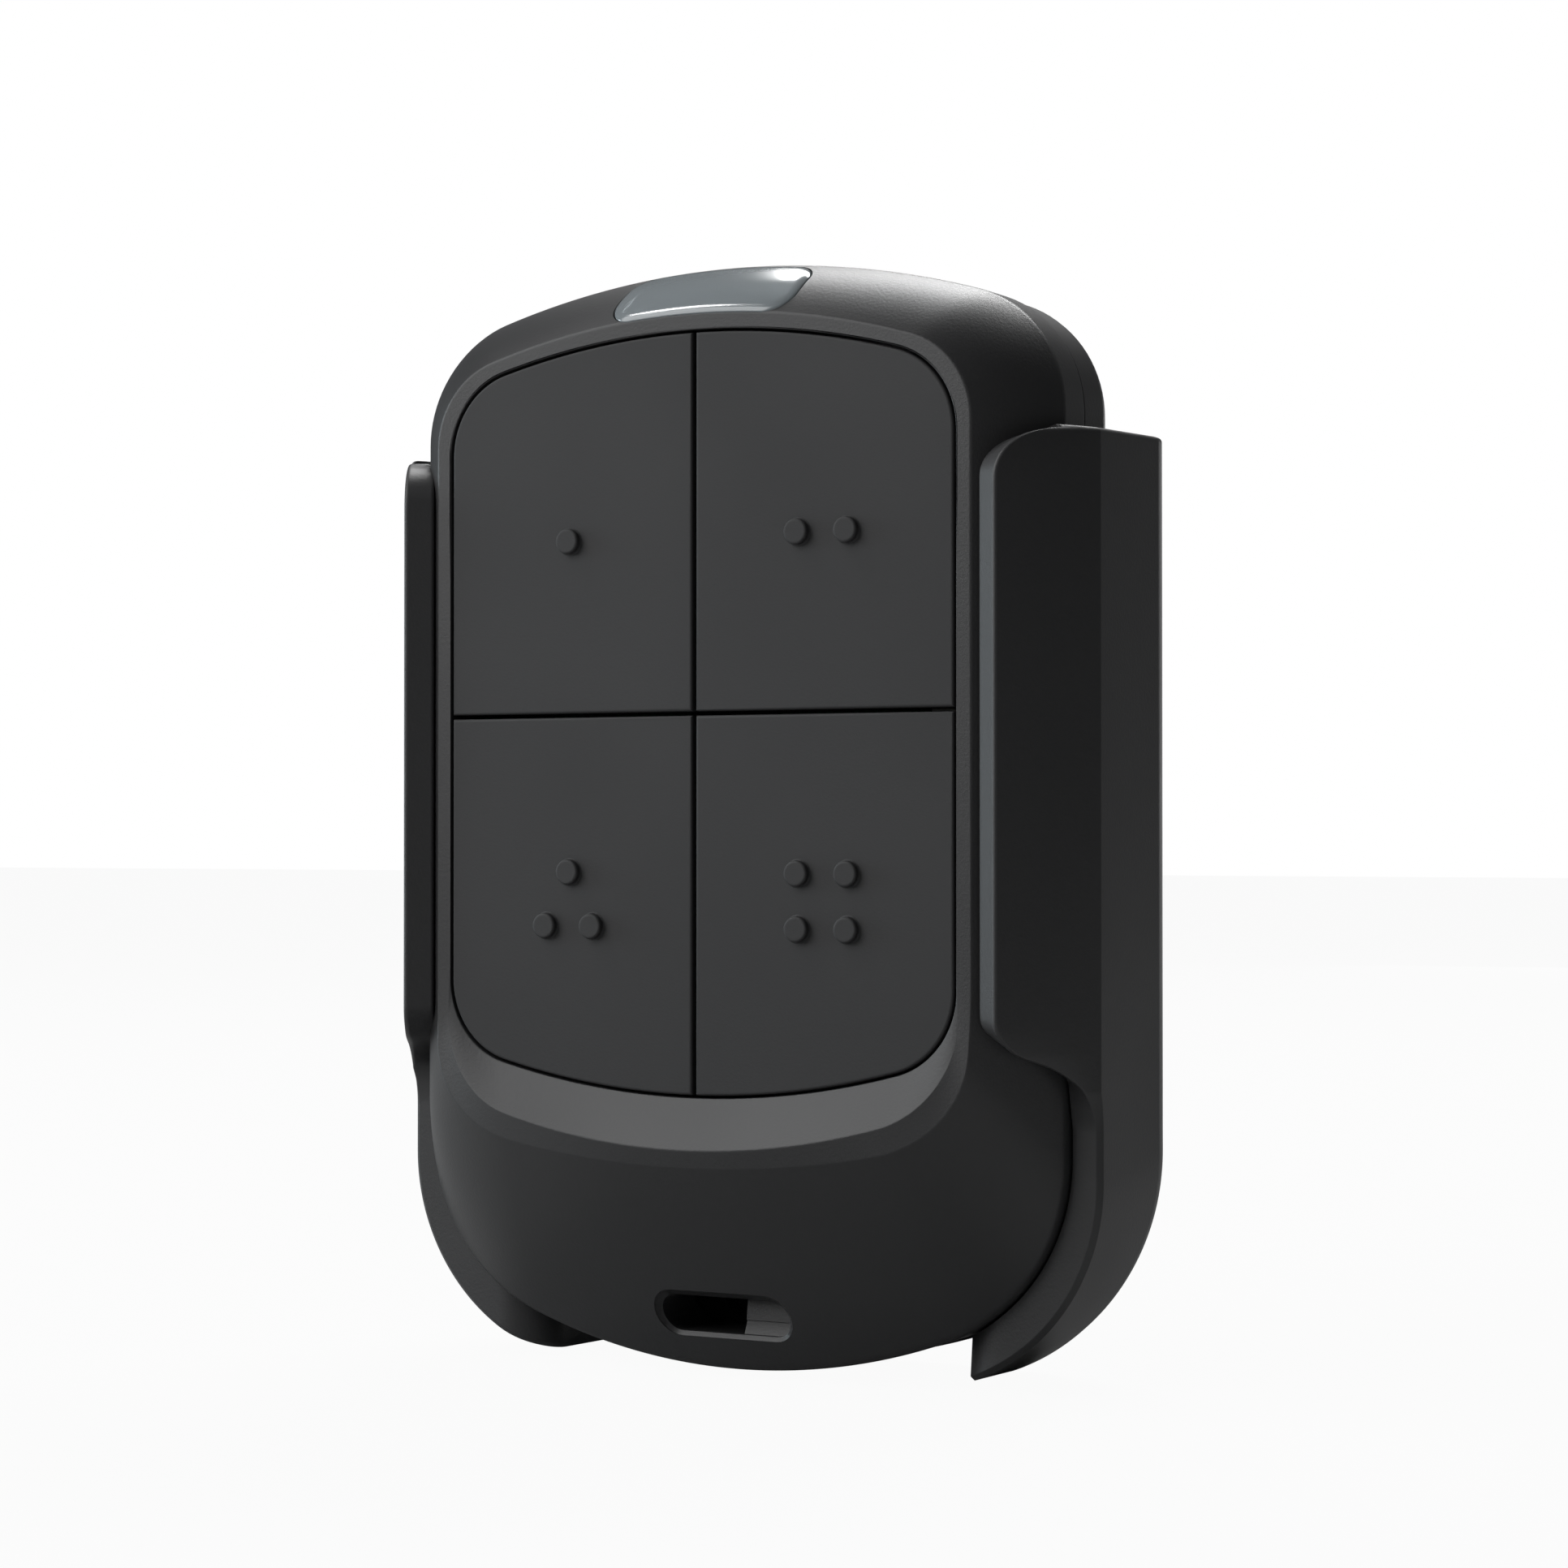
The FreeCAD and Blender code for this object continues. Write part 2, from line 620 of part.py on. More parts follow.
def front_shell():
    piece = outer_form("front_body")
    piece.extrude("cavity", FRONT, cavity_rear.draw, dim.cavity_depth, dim.seam_depth, cut=True)
    piece.loft("front_cavity", [(cavity_middle, dim.cavity_depth), (cavity_front, dim.face_thickness)], cut=True)
    piece.extrude("key_opening", FRONT, keyhole.draw, -dim.chin_rise - 0.5, dim.face_thickness + 0.2, cut=True)
    piece.loft("ramp", [(ramp_top, -dim.chin_rise), (inner_keyhole, size(0.1))], cut=True)
    piece.extrude("bosses", FRONT, all_circles(SCREWS, dim.boss_radius), dim.face_thickness, dim.board_front)
    for side in (1, -1):
        x = side * dim.hook_across
        catch = box(x - dim.hook_width / 2, x + dim.hook_width / 2, hook_top - dim.hook_reach * 0.7, hook_top + 1)
        front = hook_front + dim.hook_depth + dim.hook_clearance
        piece.extrude("right_catch" if side > 0 else "left_catch", FRONT, catch, front, dim.seam_depth)
    piece.extrude(
        "pilots", FRONT, all_circles(SCREWS, dim.screw_radius + dim.screw_fit),
        dim.board_front - dim.screw_grip, dim.board_front + 0.1, cut=True,
    )
    slot = obround(dim.slot_half_length, dim.slot_half_height, ZERO, -dim.slot_down)
    piece.extrude("slot", FRONT, slot, -dim.chin_rise, dim.slot_step, cut=True)
    piece.extrude("slot_through", FRONT, through_slot, dim.slot_step - 0.1, dim.seam_depth, cut=True)
    light_hole = box(-dim.lens_half_width / 2, dim.lens_half_width / 2, dim.board_front - 1, dim.seam_depth - 0.8)
    piece.extrude("light_hole", ABOVE, light_hole, dim.fob_top - 4, dim.fob_top - dim.lens_thickness / 2, cut=True)
    return piece


def through_slot(outline):
    """The left part of the keyring slot, which goes right through: round at its outer end."""
    low = -dim.slot_down - dim.slot_half_height
    high = -dim.slot_down + dim.slot_half_height
    left = dim.slot_half_height - dim.slot_half_length
    outline.path([(left, low), (dim.slot_through, low), (dim.slot_through, high), (left, high, dim.slot_half_height)])


def back_shell():
    piece = Piece("back_shell")
    outer = skirt.grown(-dim.back_inset)
    soft_front = fob_depth - dim.back_round
    soft_middle = fob_depth - dim.back_round * 0.3
    piece.extrude("shell", FRONT, outer.draw, dim.seam_depth, soft_front)
    middle = outer.grown(-dim.back_round * 0.3)
    piece.loft("soft_side", [(outer, soft_front), (middle, soft_middle)])
    piece.loft("soft_back", [(middle, soft_middle), (outer.grown(-dim.back_round), fob_depth)])
    piece.extrude("cavity", FRONT, cavity_rear.draw, dim.seam_depth, cavity_back, cut=True)
    piece.extrude(
        "posts", FRONT, all_circles(SCREWS, dim.boss_radius), board_back + 0.05, cavity_back + 0.1
    )
    piece.extrude(
        "screw_holes", FRONT, all_circles(SCREWS, dim.screw_radius + dim.screw_clearance),
        board_back - 0.5, fob_depth, cut=True,
    )
    piece.extrude(
        "screw_seats", FRONT, all_circles(SCREWS, dim.screw_head_radius + dim.screw_clearance),
        fob_depth - dim.screw_sink, fob_depth + 0.5, cut=True,
    )
    piece.extrude("slot_through", FRONT, through_slot, dim.seam_depth, fob_depth, cut=True)
    half = dim.hook_width / 2
    for side, name in ((1, "right"), (-1, "left")):
        x = side * dim.hook_across
        post = box(x - half, x + half, hook_top - dim.hook_reach - 1, hook_top - dim.hook_reach)
        nose = box(x - half, x + half, hook_top - dim.hook_reach, hook_top)
        piece.extrude(name + "_hook", FRONT, post, hook_front, cavity_back + 0.1)
        piece.extrude(name + "_nose", FRONT, nose, hook_front, hook_front + dim.hook_depth)
    return piece


KEYS = [
    ("key_one", -1, 1, [(0, 0)]),
    ("key_two", 1, 1, [(-0.5, 0), (0.5, 0)]),
    ("key_three", -1, -1, [(0, 0.5), (-0.5, -0.5), (0.5, -0.5)]),
    ("key_four", 1, -1, [(-0.5, 0.5), (0.5, 0.5), (-0.5, -0.5), (0.5, -0.5)]),
]


def key_middle(side, end):
    """The middle of a key's dots, over its switch."""
    return side * dot_across, dot_up if end > 0 else -dot_down


def key(name, side, end, dots):
    piece = Piece(name)
    cap = keyhole.grown(-dim.key_gap)
    lip = keyhole.grown(dim.key_lip)
    gap = dim.key_gap / 2
    x, z = key_middle(side, end)
    piece.extrude("cap", FRONT, cap.quarter(side, end, gap), ZERO, key_flange_front)
    piece.round("cap_edge", dim.key_edge, lambda edge: flat_at(edge, ZERO), "PartDesign::Chamfer")
    piece.extrude("lip", FRONT, lip.quarter(side, end, gap), key_flange_front, key_flange_back)
    piece.extrude("post", FRONT, all_circles([(x, z)], dim.key_post_radius), key_flange_back, stem_front)
    spots = [(x + across * dim.dot_pitch, z + up * dim.dot_pitch) for across, up in dots]
    piece.extrude("dots", FRONT, all_circles(spots, dim.dot_radius), -dim.dot_height, size(0.1))
    return piece


def switch_stem(name, side, end):
    piece = Piece(name)
    x, z = key_middle(side, end)
    piece.extrude(
        "stem", FRONT, all_circles([(x, z)], dim.stem_radius), stem_front, stem_front + dim.stem_length
    )
    return piece


def switch_bodies():
    """Four square switch bodies, each with the well that its stem moves in."""
    piece = Piece("switch_bodies")
    middles = [key_middle(side, end) for name, side, end, dots in KEYS]
    half = dim.switch_side / 2
    for index, (x, z) in enumerate(middles):
        outline = box(x - half, x + half, z - half, z + half)
        piece.extrude(f"switch{index + 1}", FRONT, outline, switch_front, dim.board_front)
    piece.extrude(
        "wells", FRONT, all_circles(middles, dim.stem_radius + dim.stem_clearance),
        switch_front, switch_front + dim.switch_well, cut=True,
    )
    return piece


def circuit_board():
    piece = Piece("circuit_board")
    board = cavity_rear.grown(-dim.board_clearance)
    piece.extrude("board", FRONT, board.draw, dim.board_front, board_back)
    piece.extrude(
        "board_holes", FRONT, all_circles(SCREWS, dim.screw_radius + dim.screw_clearance),
        dim.board_front, board_back, cut=True,
    )
    return piece


def housing_screws():
    """Two screws in from the back, through post and board into the front shell's bosses."""
    piece = Piece("housing_screws")
    seat = fob_depth - dim.screw_sink
    tip = dim.board_front - dim.screw_grip
    for index, place in enumerate(SCREWS):
        piece.extrude(f"shank{index + 1}", FRONT, all_circles([place], dim.screw_radius), tip + 0.1, seat)
        piece.extrude(
            f"head{index + 1}", FRONT, all_circles([place], dim.screw_head_radius),
            seat, seat + dim.screw_head_height,
        )
    return piece


def block(name, x, z, width, height, front, back):
    """A small rectangular component standing on the board."""
    piece = Piece(name)
    outline = box(x - width / 2, x + width / 2, z - height / 2, z + height / 2)
    piece.extrude("block", FRONT, outline, front, back)
    return piece


def small_parts():
    """Resistors and capacitors in two rows on the board's front."""
    piece = Piece("surface_mount_parts")
    for index in range(6):
        side = 1 if index % 2 else -1
        half = dim.small_part / 2
        x = side * dim.small_part * 1.6
        z = -dim.chip_side * 2.8 - dim.small_part * (1.4 * (index // 2))
        outline = box(x - half, x + half, z - half / 2, z + half / 2)
        piece.extrude(f"part{index + 1}", FRONT, outline, dim.board_front - half * 0.6, dim.board_front)
    return piece


def coin_cell():
    cell = doc.addObject("Part::Cylinder", "coin_cell")
    cell.setExpression("Radius", dim.cell_radius.text)
    cell.setExpression("Height", dim.cell_height.text)
    cell.Placement = FreeCAD.Placement(
        FreeCAD.Vector(0, 0, 0), FreeCAD.Rotation(FreeCAD.Vector(1, 0, 0), -90)
    )
    cell.setExpression("Placement.Base.z", (-dim.cell_down).text)
    cell.setExpression("Placement.Base.y", (cell_front - cradle_back).text)
    return cell


def cell_contact():
    """The negative contact: a leaf on the board with a raised round pad."""
    piece = Piece("cell_contact")
    half, low = dim.contact_leaf / 2, -dim.cell_down - dim.contact_width / 2
    leaf_back = board_back + dim.contact_height * 0.4
    piece.extrude("leaf", FRONT, box(-half, half, low, low + dim.contact_width), board_back, leaf_back)
    piece.extrude("pad", FRONT, all_circles([(ZERO, -dim.cell_down)], dim.contact_pad), leaf_back, cell_front)
    return piece


def cell_clip():
    """The positive clip: a spring strap over the cell with a leg down each side to the board."""
    piece = Piece("cell_clip")
    inner = dim.cell_radius + dim.clip_side_gap
    outer = inner + dim.clip_thickness
    low = cell_back + dim.clip_gap
    high = low + dim.clip_thickness

    def profile(outline):
        outline.path([
            (inner, board_back), (outer, board_back), (outer, high), (-outer, high),
            (-outer, board_back), (-inner, board_back), (-inner, low), (inner, low),
        ])

    half = dim.clip_width / 2
    piece.extrude("strap", ABOVE, profile, -dim.cell_down - half, -dim.cell_down + half)
    return piece


def antenna():
    """A flat loop track on the back of the board, above the cell."""
    piece = Piece("antenna_track")
    half = dim.fob_half_width - dim.shell_wall - dim.board_clearance - dim.antenna_inset
    low, high = dim.antenna_low, dim.fob_top - dim.shell_wall - dim.board_clearance - dim.antenna_inset / 2
    width = dim.antenna_width

    def track(outline):
        outline.path([
            (-half, low), (-half + width, low), (-half + width, high - width), (half - width, high - width),
            (half - width, low), (half, low), (half, high), (-half, high),
        ])

    piece.extrude("track", FRONT, track, board_back, board_back + dim.antenna_thickness)
    return piece


def cradle():
    """The cradle: a tub with a back plate and two wings that lean in over the remote's flanks."""
    piece = Piece("cradle")
    inner = skirt.grown(dim.fit_gap)
    outer = inner.grown(dim.cradle_wall)
    piece.extrude("tub", FRONT, outer.tub(dim.cradle_top), dim.flank_depth, cradle_back)
    piece.round(
        "rear_chamfer", dim.cradle_soft,
        lambda edge: flat_at(edge, cradle_back) and edge.BoundBox.ZMin < dim.cradle_top.value - 1,
        "PartDesign::Chamfer",
    )
    piece.round(
        "rear_soft", dim.cradle_soft / 3,
        lambda edge: edge.BoundBox.ZMin < dim.cradle_top.value - 1
        and (flat_at(edge, cradle_back) or flat_at(edge, cradle_back - dim.cradle_soft)),
        "PartDesign::Chamfer",
    )
    piece.extrude("well", FRONT, inner.tub(dim.cradle_top + 5), dim.flank_depth - 1, plate_front, cut=True)
    root = dim.flank_depth + 0.5
    wing_low = -dim.fob_bottom + dim.bottom_corner
    wing_inner = inner.half - flank_slope * (dim.flank_depth - dim.wing_inner_depth)
    for side, name in ((1, "right_wing"), (-1, "left_wing")):
        corners = [
            (side * outer.half, dim.flank_depth),
            (side * outer.half, root),
            (side * inner.half, root),
            (side * inner.half, dim.flank_depth),
            (side * wing_inner, dim.wing_inner_depth),
            (side * (wing_inner + dim.wing_edge), -dim.wing_reach),
        ]
        piece.extrude(name, ABOVE, lambda outline, path=corners: outline.path(path), wing_low, dim.cradle_top)

    front = -dim.wing_reach
    ahead = front - 1
    cove = dim.wing_cove
    notch_low = -dim.wing_notch - cove
    under = wing_low - 1

    def below(outline):
        outline.path([
            (ahead, under),
            (dim.flank_depth, under),
            (dim.flank_depth, notch_low, cove),
            (dim.flank_depth - cove, -dim.wing_notch),
            (front + 1.2, -dim.wing_notch + 0.5),
            (ahead, -dim.wing_bottom + 0.4),
        ])

    piece.extrude("wing_ends", SIDE, below, -outer.half - 1, outer.half + 1, cut=True)
    corner = dim.wing_corner

    def shoulder(outline):
        outline.path([
            (front, dim.cradle_top + 1),
            (ahead, dim.cradle_top + 1),
            (ahead, dim.cradle_top - corner),
            (front, dim.cradle_top - corner, -corner),
            (front + corner, dim.cradle_top),
            (front + corner, dim.cradle_top + 1),
        ])

    piece.extrude("wing_shoulders", SIDE, shoulder, -outer.half - 1, outer.half + 1, cut=True)
    half = dim.notch_half_width
    turn = dim.notch_round
    low = -dim.fob_bottom - 5

    def gap(outline):
        outline.path([
            (-half - turn, dim.flank_depth - 1),
            (half + turn, dim.flank_depth - 1),
            (half + turn, dim.flank_depth, -turn),
            (half, dim.flank_depth + turn),
            (half, plate_front),
            (-half, plate_front),
            (-half, dim.flank_depth + turn, -turn),
            (-half - turn, dim.flank_depth),
        ])

    piece.extrude("lip_gap", ABOVE, gap, low, wing_low, cut=True)
    piece.extrude(
        "plate_edge", FRONT,
        lambda outline: outline.path([
            (-half, low), (half, low), (half, -dim.plate_bottom), (-half, -dim.plate_bottom),
        ]),
        plate_front - 1, cradle_back + 1, cut=True,
    )
    screws = [(ZERO, dim.wall_screw_upper), (ZERO, dim.wall_screw_upper - dim.wall_screw_pitch)]
    piece.extrude(
        "wall_holes", FRONT, all_circles(screws, dim.wall_screw_radius), plate_front - 1, cradle_back + 1, cut=True
    )
    return piece


def countersinks():
    """The cones that sink the wall screws' heads into the front of the back plate."""
    cones = []
    for index, down in enumerate((ZERO, dim.wall_screw_pitch)):
        cone = doc.addObject("Part::Cone", f"countersink{index + 1}")
        cone.setExpression("Radius1", dim.wall_screw_head.text)
        cone.setExpression("Radius2", dim.wall_screw_radius.text)
        cone.setExpression("Height", (dim.wall_screw_head - dim.wall_screw_radius).text)
        cone.Placement = FreeCAD.Placement(
            FreeCAD.Vector(0, 0, 0), FreeCAD.Rotation(FreeCAD.Vector(1, 0, 0), -90)
        )
        cone.setExpression("Placement.Base.y", (plate_front - cradle_back).text)
        cone.setExpression("Placement.Base.z", (dim.wall_screw_upper - down).text)
        cones.append(cone)
    return cones


def placed(piece):
    """Moves a piece from the remote's own frame to the cradle's back face."""
    piece.body.Placement = FreeCAD.Placement(FreeCAD.Vector(0, -cradle_back.value, 0), FreeCAD.Rotation())
    piece.body.setExpression("Placement.Base.y", (-cradle_back).text)
    return piece.body


def boolean(kind, name, base, tool):
    result = doc.addObject(kind, name)
    result.Label = name
    result.Base = base
    result.Tool = tool
    return result


sub_parts = [
    boolean("Part::Cut", "front_shell", placed(front_shell()), placed(window("window_recess", ZERO))),
    placed(back_shell()),
    boolean("Part::Common", "lens", placed(outer_form("lens_form")), placed(window("lens_block", dim.lens_gap))),
]
for name, side, end, dots in KEYS:
    sub_parts.append(placed(key(name, side, end, dots)))
    sub_parts.append(placed(switch_stem(name.replace("key", "stem"), side, end)))
sub_parts += [placed(make()) for make in (
    switch_bodies, circuit_board, housing_screws, small_parts, cell_contact, cell_clip, antenna,
)]
sub_parts.append(coin_cell())
chip_back = dim.board_front
side_parts = dim.fob_half_width - dim.shell_wall - dim.board_clearance - dim.edge_parts_inset
chip = dim.chip_side
sub_parts += [
    placed(block("controller_chip", ZERO, ZERO, chip, chip, chip_back - dim.chip_height, chip_back)),
    placed(block("radio_chip", -side_parts, ZERO, dim.radio_width, chip, chip_back - dim.chip_height, chip_back)),
    placed(block("crystal", side_parts, ZERO, dim.crystal_width, chip, chip_back - dim.chip_height, chip_back)),
    placed(block(
        "light_diode", ZERO, dim.fob_top - dim.hook_drop - 1, dim.diode_width, dim.diode_width * 0.65,
        chip_back - dim.diode_height, chip_back,
    )),
]
cradle_body = placed(cradle())
upper_sink, lower_sink = countersinks()
once = boolean("Part::Cut", "cradle_once", cradle_body, upper_sink)
cradle_body.Label = "cradle_form"
sub_parts.append(boolean("Part::Cut", "cradle", once, lower_sink))

doc.recompute()
failed = [thing.Name for thing in doc.Objects if {"Invalid", "Error"} & set(thing.State)]
if failed:
    raise RuntimeError(f"these features failed: {failed}")
for part in sub_parts:
    if part.Shape.isNull() or not part.Shape.isValid() or part.Shape.Volume <= 0:
        raise RuntimeError(f"{part.Label} has no sound shape")

os.makedirs("parts", exist_ok=True)
for part in sub_parts:
    part.Shape.exportStep(f"parts/{part.Label}.step")
    bounds = part.Shape.BoundBox
    print(
        f"{part.Label}: {len(part.Shape.Solids)} solids, {part.Shape.Volume:.1f} mm3,"
        f" X {bounds.XMin:.2f} to {bounds.XMax:.2f}, Y {bounds.YMin:.2f} to {bounds.YMax:.2f},"
        f" Z {bounds.ZMin:.2f} to {bounds.ZMax:.2f}"
    )
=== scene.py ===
"""Cloning remote control in its wall cradle: shells, keys, light window and cradle as smooth surfaces on
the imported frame, with the parts inside, a studio and the photo's camera."""

import math

import bmesh
import bpy
import numpy as np
from bpy.props import FloatProperty, FloatVectorProperty, PointerProperty
from mathutils import Matrix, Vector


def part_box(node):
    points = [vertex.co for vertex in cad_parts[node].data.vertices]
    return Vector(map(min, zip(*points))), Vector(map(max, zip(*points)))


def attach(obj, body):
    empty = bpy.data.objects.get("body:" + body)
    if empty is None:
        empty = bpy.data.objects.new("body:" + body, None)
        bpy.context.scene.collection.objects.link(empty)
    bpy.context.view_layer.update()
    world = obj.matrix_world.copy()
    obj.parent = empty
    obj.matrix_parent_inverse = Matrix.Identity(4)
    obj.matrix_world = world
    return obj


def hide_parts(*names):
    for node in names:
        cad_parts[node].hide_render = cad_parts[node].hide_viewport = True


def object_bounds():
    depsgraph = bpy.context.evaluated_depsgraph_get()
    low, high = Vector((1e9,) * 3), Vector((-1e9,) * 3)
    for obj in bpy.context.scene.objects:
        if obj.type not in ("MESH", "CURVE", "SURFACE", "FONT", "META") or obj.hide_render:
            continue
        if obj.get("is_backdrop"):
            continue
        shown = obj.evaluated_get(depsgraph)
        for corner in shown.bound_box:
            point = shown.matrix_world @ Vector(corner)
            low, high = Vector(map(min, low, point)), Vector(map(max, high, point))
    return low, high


bl_info = {
    "name": "Cloning Remote Control",
    "version": (1, 0, 0),
    "blender": (4, 5, 0),
    "location": "View3D > Sidebar > Remote",
    "description": "Builds a four-key remote control in its wall cradle, its inner parts and a studio",
    "category": "Object",
}

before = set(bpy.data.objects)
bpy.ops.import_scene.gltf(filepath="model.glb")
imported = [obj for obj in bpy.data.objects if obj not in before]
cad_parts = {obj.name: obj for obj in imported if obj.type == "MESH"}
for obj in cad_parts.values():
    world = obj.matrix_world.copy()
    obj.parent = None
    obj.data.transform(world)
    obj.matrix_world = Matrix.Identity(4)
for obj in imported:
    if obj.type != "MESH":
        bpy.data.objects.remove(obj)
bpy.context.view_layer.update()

MM = 0.001
# Points round a turned solid, and steps along a rounded corner.
TURNED_POINTS, ROUND_STEPS = 48, 5
# In metres: points nearer than this are one point, and edges shorter than this are dropped.
SAME_POINT, NO_EDGE = 2e-7, 1e-7
# Depth 0 is the keys' front face. The chin's rim, which is the front shell's foremost point, stands
# forward of it by CHIN_RISE.
CHIN_RISE = 1.05
KEY_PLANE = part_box("front_shell")[0].y / MM + CHIN_RISE
CRADLE_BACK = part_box("cradle")[1].y / MM - KEY_PLANE
FOB_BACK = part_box("back_shell")[1].y / MM - KEY_PLANE


def linear(hexcode):
    """The linear colour of an sRGB hex code such as "#3a3a3a"."""
    channels = [int(hexcode[i:i + 2], 16) / 255 for i in (1, 3, 5)]
    curve = [c / 12.92 if c <= 0.04045 else ((c + 0.055) / 1.055) ** 2.4 for c in channels]
    return (*curve, 1.0)


def length(label, default, low, high, about):
    """A size in millimetres for the sidebar."""
    return FloatProperty(name=label, description=about, default=default, min=low, max=high)


def colour(label, hexcode, about):
    """A colour for the sidebar."""
    return FloatVectorProperty(
        name=label, description=about, default=linear(hexcode), size=4, min=0, max=1, subtype="COLOR"
    )


class RemoteKeySizes(bpy.types.PropertyGroup):
    """Sizes of the keys and their raised dots, in millimetres."""

    gap: length("Key gap", 0.24, 0.1, 0.5, "Gap between the keys")
    border: length("Key border", 0.15, 0.1, 0.5, "Gap between the keys and the rim")
    edge: length("Key edge", 0.15, 0.02, 0.4, "Rounding of a key's front edge")
    dot_radius: length("Dot radius", 0.73, 0.4, 1.0, "Radius of a raised dot")
    dot_height: length("Dot height", 0.42, 0.1, 0.6, "Height of a raised dot")


class RemoteShellSizes(bpy.types.PropertyGroup):
    """Roundings of the two shells and the light window, in millimetres."""

    rim_soft: length("Rim rounding", 0.28, 0.05, 0.8, "Rounding of the rim's outer edge")
    ramp_soft: length("Ramp rounding", 0.3, 0.05, 0.8, "Rounding between the ramp and the rim")
    skirt_soft: length("Skirt rounding", 0.8, 0.2, 2.0, "Rounding between flank and skirt")
    flank_crown: length("Flank crown", 0.34, 0.0, 0.5, "How far the flanks and the chin swell out")
    seam: length("Seam", 0.3, 0.05, 0.4, "Width of the groove between the two shells")
    back_soft: length("Back rounding", 1.5, 0.2, 2.5, "Rounding of the back shell's outer edge")
    slot_chamfer: length("Slot chamfer", 0.26, 0.02, 0.5, "Chamfer round the keyring slot")
    window_edge: length("Window edge", 0.5, 0.05, 0.6, "Rounding of the light window's edge")
    window_swell: length("Window swell", 0.36, 0.0, 0.6, "How far the light window swells out")


class RemoteCradleSizes(bpy.types.PropertyGroup):
    """Roundings of the cradle, in millimetres."""

    edge: length("Edge rounding", 0.2, 0.02, 0.4, "Rounding of the cradle's front edges")
    top_edge: length("Top rounding", 0.3, 0.02, 0.6, "Rounding of the side walls' upper ends")
    wing_crown: length("Wing crown", 0.22, 0.0, 0.4, "How far a wing's outer face swells out")
    back_soft: length("Back rounding", 2.6, 0.2, 3.3, "Rounding of the cradle's rear outer edge")


class RemoteColours(bpy.types.PropertyGroup):
    """Colours of the outer plastics."""

    shell: colour("Shell", "#333334", "Colour of the two shells")
    keys: colour("Keys", "#2f2f30", "Colour of the keys")
    cradle: colour("Cradle", "#373738", "Colour of the cradle")
    window: colour("Window", "#a7afb3", "Tint of the light window")


def add(tree, kind, inputs=(), **settings):
    """Adds one node, sets its properties, and fills its inputs with values or other nodes' outputs."""
    node = tree.nodes.new(kind)
    for key, value in settings.items():
        setattr(node, key, value)
    for key, value in dict(inputs).items():
        if isinstance(value, bpy.types.NodeSocket):
            tree.links.new(value, node.inputs[key])
        else:
            node.inputs[key].default_value = value
    return node


def material(name):
    """An empty node material and its tree, output node and object coordinates in millimetres."""
    made = bpy.data.materials.new(name)
    made.use_nodes = True
    tree = made.node_tree
    tree.nodes.clear()
    out = add(tree, "ShaderNodeOutputMaterial")
    place = add(tree, "ShaderNodeTexCoord").outputs["Object"]
    grid = add(tree, "ShaderNodeVectorMath", {0: place, 1: [1 / MM] * 3}, operation="MULTIPLY")
    return made, tree, out, grid.outputs[0]


def moulded(name, tone, rough, grain, depth):
    """ABS moulded against a spark-eroded tool: a dull even black, with a fine pebbled grain that softens
    every reflection, and slow drifts in gloss where the melt cooled unevenly. The real grain is about
    0.05 mm wide; it is drawn three to four times coarser so that it shows."""
    made, tree, out, place = material(name)
    pebble = add(tree, "ShaderNodeTexNoise", {
        "Vector": place, "Scale": 1 / grain, "Detail": 2.0, "Roughness": 0.6,
    })
    drift = add(tree, "ShaderNodeTexNoise", {"Vector": place, "Scale": 0.08, "Detail": 1.0})
    gloss = add(tree, "ShaderNodeMapRange", {
        "Value": drift.outputs["Fac"], "From Min": 0.3, "From Max": 0.7,
        "To Min": rough - 0.03, "To Max": rough + 0.03,
    })
    bump = add(tree, "ShaderNodeBump", {
        "Height": pebble.outputs["Fac"], "Strength": 0.22, "Distance": depth * MM,
    })
    darker, lighter = ([c * share for c in tone[:3]] + [1] for share in (0.94, 1.06))
    tint = add(tree, "ShaderNodeMix", {0: drift.outputs["Fac"], 6: darker, 7: lighter}, data_type="RGBA")
    shader = add(tree, "ShaderNodeBsdfPrincipled", {
        "Base Color": tint.outputs[2], "Roughness": gloss.outputs[0], "IOR": 1.53,
        "Normal": bump.outputs[0],
    })
    tree.links.new(shader.outputs[0], out.inputs[0])
    return made


def metal(name, tone, rough, brush):
    """Sheet or turned metal: fine scratches along one direction blur its reflections across them."""
    made, tree, out, place = material(name)
    stretched = add(tree, "ShaderNodeMapping", {"Vector": place, "Scale": (1 / brush, 1 / brush, 0.6)})
    lines = add(tree, "ShaderNodeTexNoise", {"Vector": stretched.outputs[0], "Scale": 1.0, "Detail": 3.0})
    spread = add(tree, "ShaderNodeMapRange", {
        "Value": lines.outputs["Fac"], "To Min": rough - 0.08, "To Max": rough + 0.08,
    })
    bump = add(tree, "ShaderNodeBump", {
        "Height": lines.outputs["Fac"], "Strength": 0.15, "Distance": 0.02 * MM,
    })
    shader = add(tree, "ShaderNodeBsdfPrincipled", {
        "Base Color": tone, "Metallic": 1.0, "Roughness": spread.outputs[0], "Normal": bump.outputs[0],
    })
    tree.links.new(shader.outputs[0], out.inputs[0])
    return made


